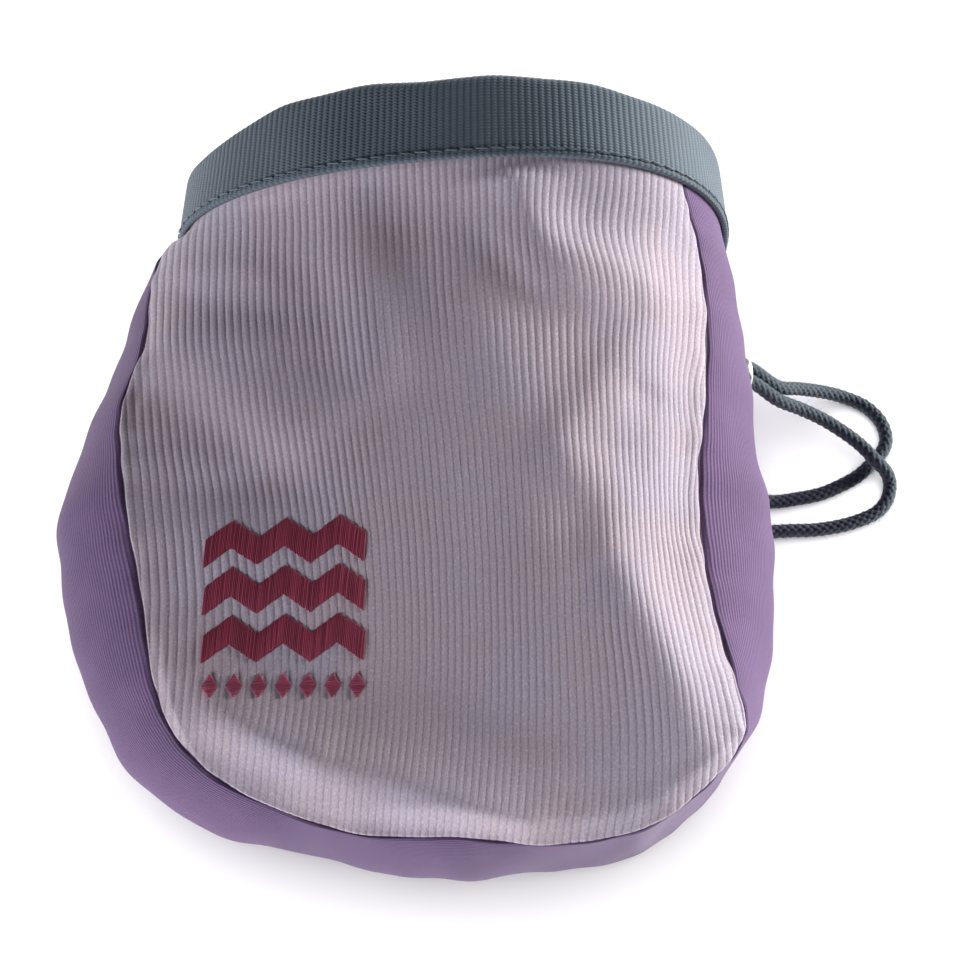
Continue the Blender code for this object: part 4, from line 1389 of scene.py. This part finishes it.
class CHALKBAG_OT_band(Operator):
    """Makes the webbing band folded over the edge of the mouth, with its row of stitches"""

    bl_idname = "chalk_bag.band"
    bl_label = "Mouth band"

    def execute(self, context):
        trim = context.scene.chalk_bag_trim
        turns, run = self.even_turns(trim.webbing_pitch)
        made = add("rim_band_webbing", self.webbing(turns, run, trim.webbing_pitch))
        dress(made, webbing_finish(), 1.0, trim.webbing_height, 1.0)
        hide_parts("rim_band")
        perimeter = run[-1]
        row = self.stitches(turns, run, darker(tuple(trim.webbing), 1.1))
        belong("slate_webbing", made, row)
        return {"FINISHED"}

    def stitches(self, turns, run, shade):
        """The row of stitches near the band's lower edge."""
        count = int(run[-1] / STITCH_PITCH)
        places = (np.arange(count) + 0.5) * run[-1] / count
        at = np.interp(places, run, np.append(turns, turns[0] + 360))
        y = BAND_LOW_Y + STITCH_LEVEL
        ahead = rim_point(at + 0.3, y, SKIN) - rim_point(at - 0.3, y, SKIN)
        lifts = unit(rim_point(at, y, 0.01) - rim_point(at, y, 0.0))
        slant = unit(ahead) + np.array((0, 0.12, 0))
        return sew("rim_band_stitches", rim_point(at, y, SKIN + 0.00012), unit(slant) * STITCH_LENGTH, lifts,
                   STITCH_WIDTH, 0.25, 5, thread_finish("slate_thread", shade))

    def even_turns(self, pitch):
        """Angles round the rim at even steps along it, a whole number to each rib, and the run at each."""
        fine = np.linspace(0, 360, 7201)
        run = run_along(rim_point(fine, BAND_LOW_Y, SKIN))
        even = np.linspace(0, run[-1], BAND_STEPS * round(run[-1] / pitch) + 1)
        return np.interp(even, run, fine)[:-1], even

    def webbing(self, turns, run, pitch):
        """The folded webbing as one closed tube of flat section, with its mouth edge waving a little."""
        middle = -CLOTH / 2
        round_in, round_out = CHANNEL / 2, CHANNEL / 2 + WEBBING
        outer, inner = middle + round_out, middle - round_out
        crown_y = MOUTH_Y - round_out
        levels = np.linspace(BAND_LOW_Y + 0.0003, crown_y, 16)
        arc = np.linspace(0, math.pi, 10)[1:-1]
        section = [(outer - 0.0003, BAND_LOW_Y, 0.4)]
        section += [(outer, y, 1.0) for y in levels]
        section += [(middle + round_out * math.cos(t), crown_y + round_out * math.sin(t), 1.0) for t in arc]
        section += [(inner, y, 1.0) for y in levels[::-2]]
        section += [(inner + 0.0003, BAND_LOW_Y, 0.4), (inner + WEBBING, BAND_LOW_Y, 0.0)]
        section += [(middle - round_in * math.cos(t), crown_y + round_in * math.sin(t), 0.0)
                    for t in (0, math.pi / 2, math.pi)]
        section += [(outer - WEBBING, BAND_LOW_Y, 0.0)]
        out, y, stand = np.array(section).T
        around = turns[:, None]
        grid = rim_point(around, y, out)
        share = np.clip((y - BAND_LOW_Y) / BAND_WIDTH, 0, 1)
        wave = np.interp(turns % 360, *np.array(MOUTH_WAVES_MM).T)
        window = np.hanning(41) / np.hanning(41).sum()
        wave = np.convolve(np.pad(wave, 20, "wrap"), window, "valid") / 1000
        grid[..., 1] += wave[:, None] * share ** 1.5
        lifts = unit(grid - rim_point(around, y, out - 0.002))
        buckle = uneven(run[:-1] * 1000, (31.0, 47.0, 71.0), 51)[:, None] * 0.0004
        sewn = -0.00022 * np.exp(-((y - BAND_LOW_Y - STITCH_LEVEL) / 0.0006) ** 2) * (out > 0)
        grid = grid + lifts * (buckle * np.sin(np.pi * share) + sewn)[..., None]
        round_it = unit(np.roll(grid, -1, axis=0) - np.roll(grid, 1, axis=0))
        normals = unit(np.cross(np.roll(grid, -1, axis=1) - np.roll(grid, 1, axis=1), round_it))
        if np.sum(normals[:, 3] * (grid[:, 3] - np.array((0, grid[:, 3, 1].mean(), 0.03)))) < 0:
            normals = -normals
        mesh = hoop("rim_band_webbing", grid)
        size = grid.shape[:2]
        rib = np.arange(len(run)) / BAND_STEPS
        along = np.stack([rib[:-1], rib[1:], rib[1:], rib[:-1]], axis=-1)[:, None] * pitch * 1000
        down = run_along(grid[0]) * 1000
        ends = np.append(down[1:], down[-1] + 0.5)
        across = np.stack([down, down, ends, ends], axis=-1)
        cloth = np.stack([*np.broadcast_arrays(along, across), np.zeros((*size, 4))], axis=-1)
        add_attribute(mesh, "cloth", "FLOAT_VECTOR", "CORNER", cloth)
        add_attribute(mesh, "rib_run", "FLOAT", "POINT", np.broadcast_to(rib[:-1, None], size))
        add_attribute(mesh, "stand", "FLOAT", "POINT", np.broadcast_to(stand, size))
        add_attribute(mesh, "lift", "FLOAT_VECTOR", "POINT", normals)
        add_attribute(mesh, "lined", "BOOLEAN", "FACE", np.zeros(size, bool))
        return outward(mesh)


class CHALKBAG_OT_ornament(Operator):
    """Sews the ornament on the front panel: three zigzag bands over a row of lozenges"""

    bl_idname = "chalk_bag.ornament"
    bl_label = "Sewn ornament"

    def execute(self, context):
        trim = context.scene.chalk_bag_trim
        bands, border_row = self.threads()
        for name, threads, shade, seed in (
            ("ornament_bands", bands, tuple(trim.thread), 7),
            ("ornament_border", border_row, tuple(trim.border_thread), 8),
        ):
            (starts, ones), (ends, twos) = self.lay(threads[:, :2]), self.lay(threads[:, 2:])
            lifts = unit(ones + twos)
            made = sew(name, (starts + ends) / 2 + lifts * 0.00006, ends - starts, lifts, trim.thread_width,
                       0.45, seed, thread_finish(f"{name}_thread", shade))
            belong("lavender_corduroy", made)
        return {"FINISHED"}

    def threads(self):
        """Each thread's two ends in millimetres, for the zigzag bands and for the row of lozenges."""
        random = np.random.default_rng(61)
        bands, border_row = [], []
        for row in ZIGZAG_ROWS_MM:
            for x in np.arange(ZIGZAG_X_MM[0], ZIGZAG_X_MM[1], THREAD_STEP_MM):
                middle = zigzag_middle(x, row)
                half = ZIGZAG_BREADTH_MM / 2 + random.uniform(-0.12, 0.12)
                bands.append((x - 0.25, middle - half, x + 0.25, middle + half))
        half_width, half_height = LOZENGE_SIZE_MM[0] / 2, LOZENGE_SIZE_MM[1] / 2
        for middle in lozenge_middles():
            for y in np.arange(-half_height + 0.3, half_height, THREAD_STEP_MM):
                half = (1 - abs(y) / half_height) * half_width + 0.12
                level = LOZENGE_ROW_MM + y
                border_row.append((middle - half, level, middle + half, level + 0.1))
        return np.array(bands), np.array(border_row)

    def lay(self, places_mm):
        """Points of the front panel under places seen from above, and the panel's normals there."""
        grid = panel_points(front_surface, FRONT_SEAM_TURNS, PANEL_COLUMNS, PANEL_ROWS)[2]
        rows, columns = thin_out(grid.shape[0] - 1, 2), thin_out(grid.shape[1] - 1, 6)
        points = [Vector(point) for point in grid[np.ix_(rows, columns)].reshape(-1, 3)]
        tree = BVHTree.FromPolygons(points, quads(len(rows), len(columns), False).tolist())
        starts = [Vector((x / 1000, y / 1000, 0.2)) for x, y in places_mm]
        hits = [tree.ray_cast(start, Vector((0, 0, -1)))[:2] for start in starts]
        normals = [normal if normal.z > 0 else -normal for _hit, normal in hits]
        return np.array([hit for hit, _normal in hits]), np.array(normals)


class CHALKBAG_PT_sidebar(Panel):
    """Lists the pieces and their sizes"""

    bl_idname = "CHALKBAG_PT_sidebar"
    bl_label = "Chalk Bag"
    bl_space_type = "VIEW_3D"
    bl_region_type = "UI"
    bl_category = "Chalk Bag"

    def draw(self, context):
        for group in GROUPS:
            settings = getattr(context.scene, group)
            box = self.layout.box()
            for name in settings.bl_rna.properties.keys():
                if name not in ("rna_type", "name"):
                    box.prop(settings, name)
        for maker in OPERATORS:
            self.layout.operator(maker.bl_idname)


OPERATORS = (
    CHALKBAG_OT_stage, CHALKBAG_OT_drawcord, CHALKBAG_OT_front_panel, CHALKBAG_OT_twill, CHALKBAG_OT_band,
    CHALKBAG_OT_ornament,
)
GROUPS = {
    "chalk_bag_cloth": ChalkBagCloth, "chalk_bag_trim": ChalkBagTrim, "chalk_bag_drawcord": ChalkBagDrawcord,
}


def register():
    for known in (*GROUPS.values(), *OPERATORS, CHALKBAG_PT_sidebar):
        bpy.utils.register_class(known)
    for name, group in GROUPS.items():
        setattr(bpy.types.Scene, name, PointerProperty(type=group))


def unregister():
    for name in GROUPS:
        delattr(bpy.types.Scene, name)
    for known in reversed((*GROUPS.values(), *OPERATORS, CHALKBAG_PT_sidebar)):
        bpy.utils.unregister_class(known)


def main():
    register()
    bpy.ops.chalk_bag.stage()
    bpy.ops.chalk_bag.drawcord()
    bpy.ops.chalk_bag.front_panel()
    bpy.ops.chalk_bag.twill()
    bpy.ops.chalk_bag.band()
    bpy.ops.chalk_bag.ornament()


if __name__ == "__main__":
    main()
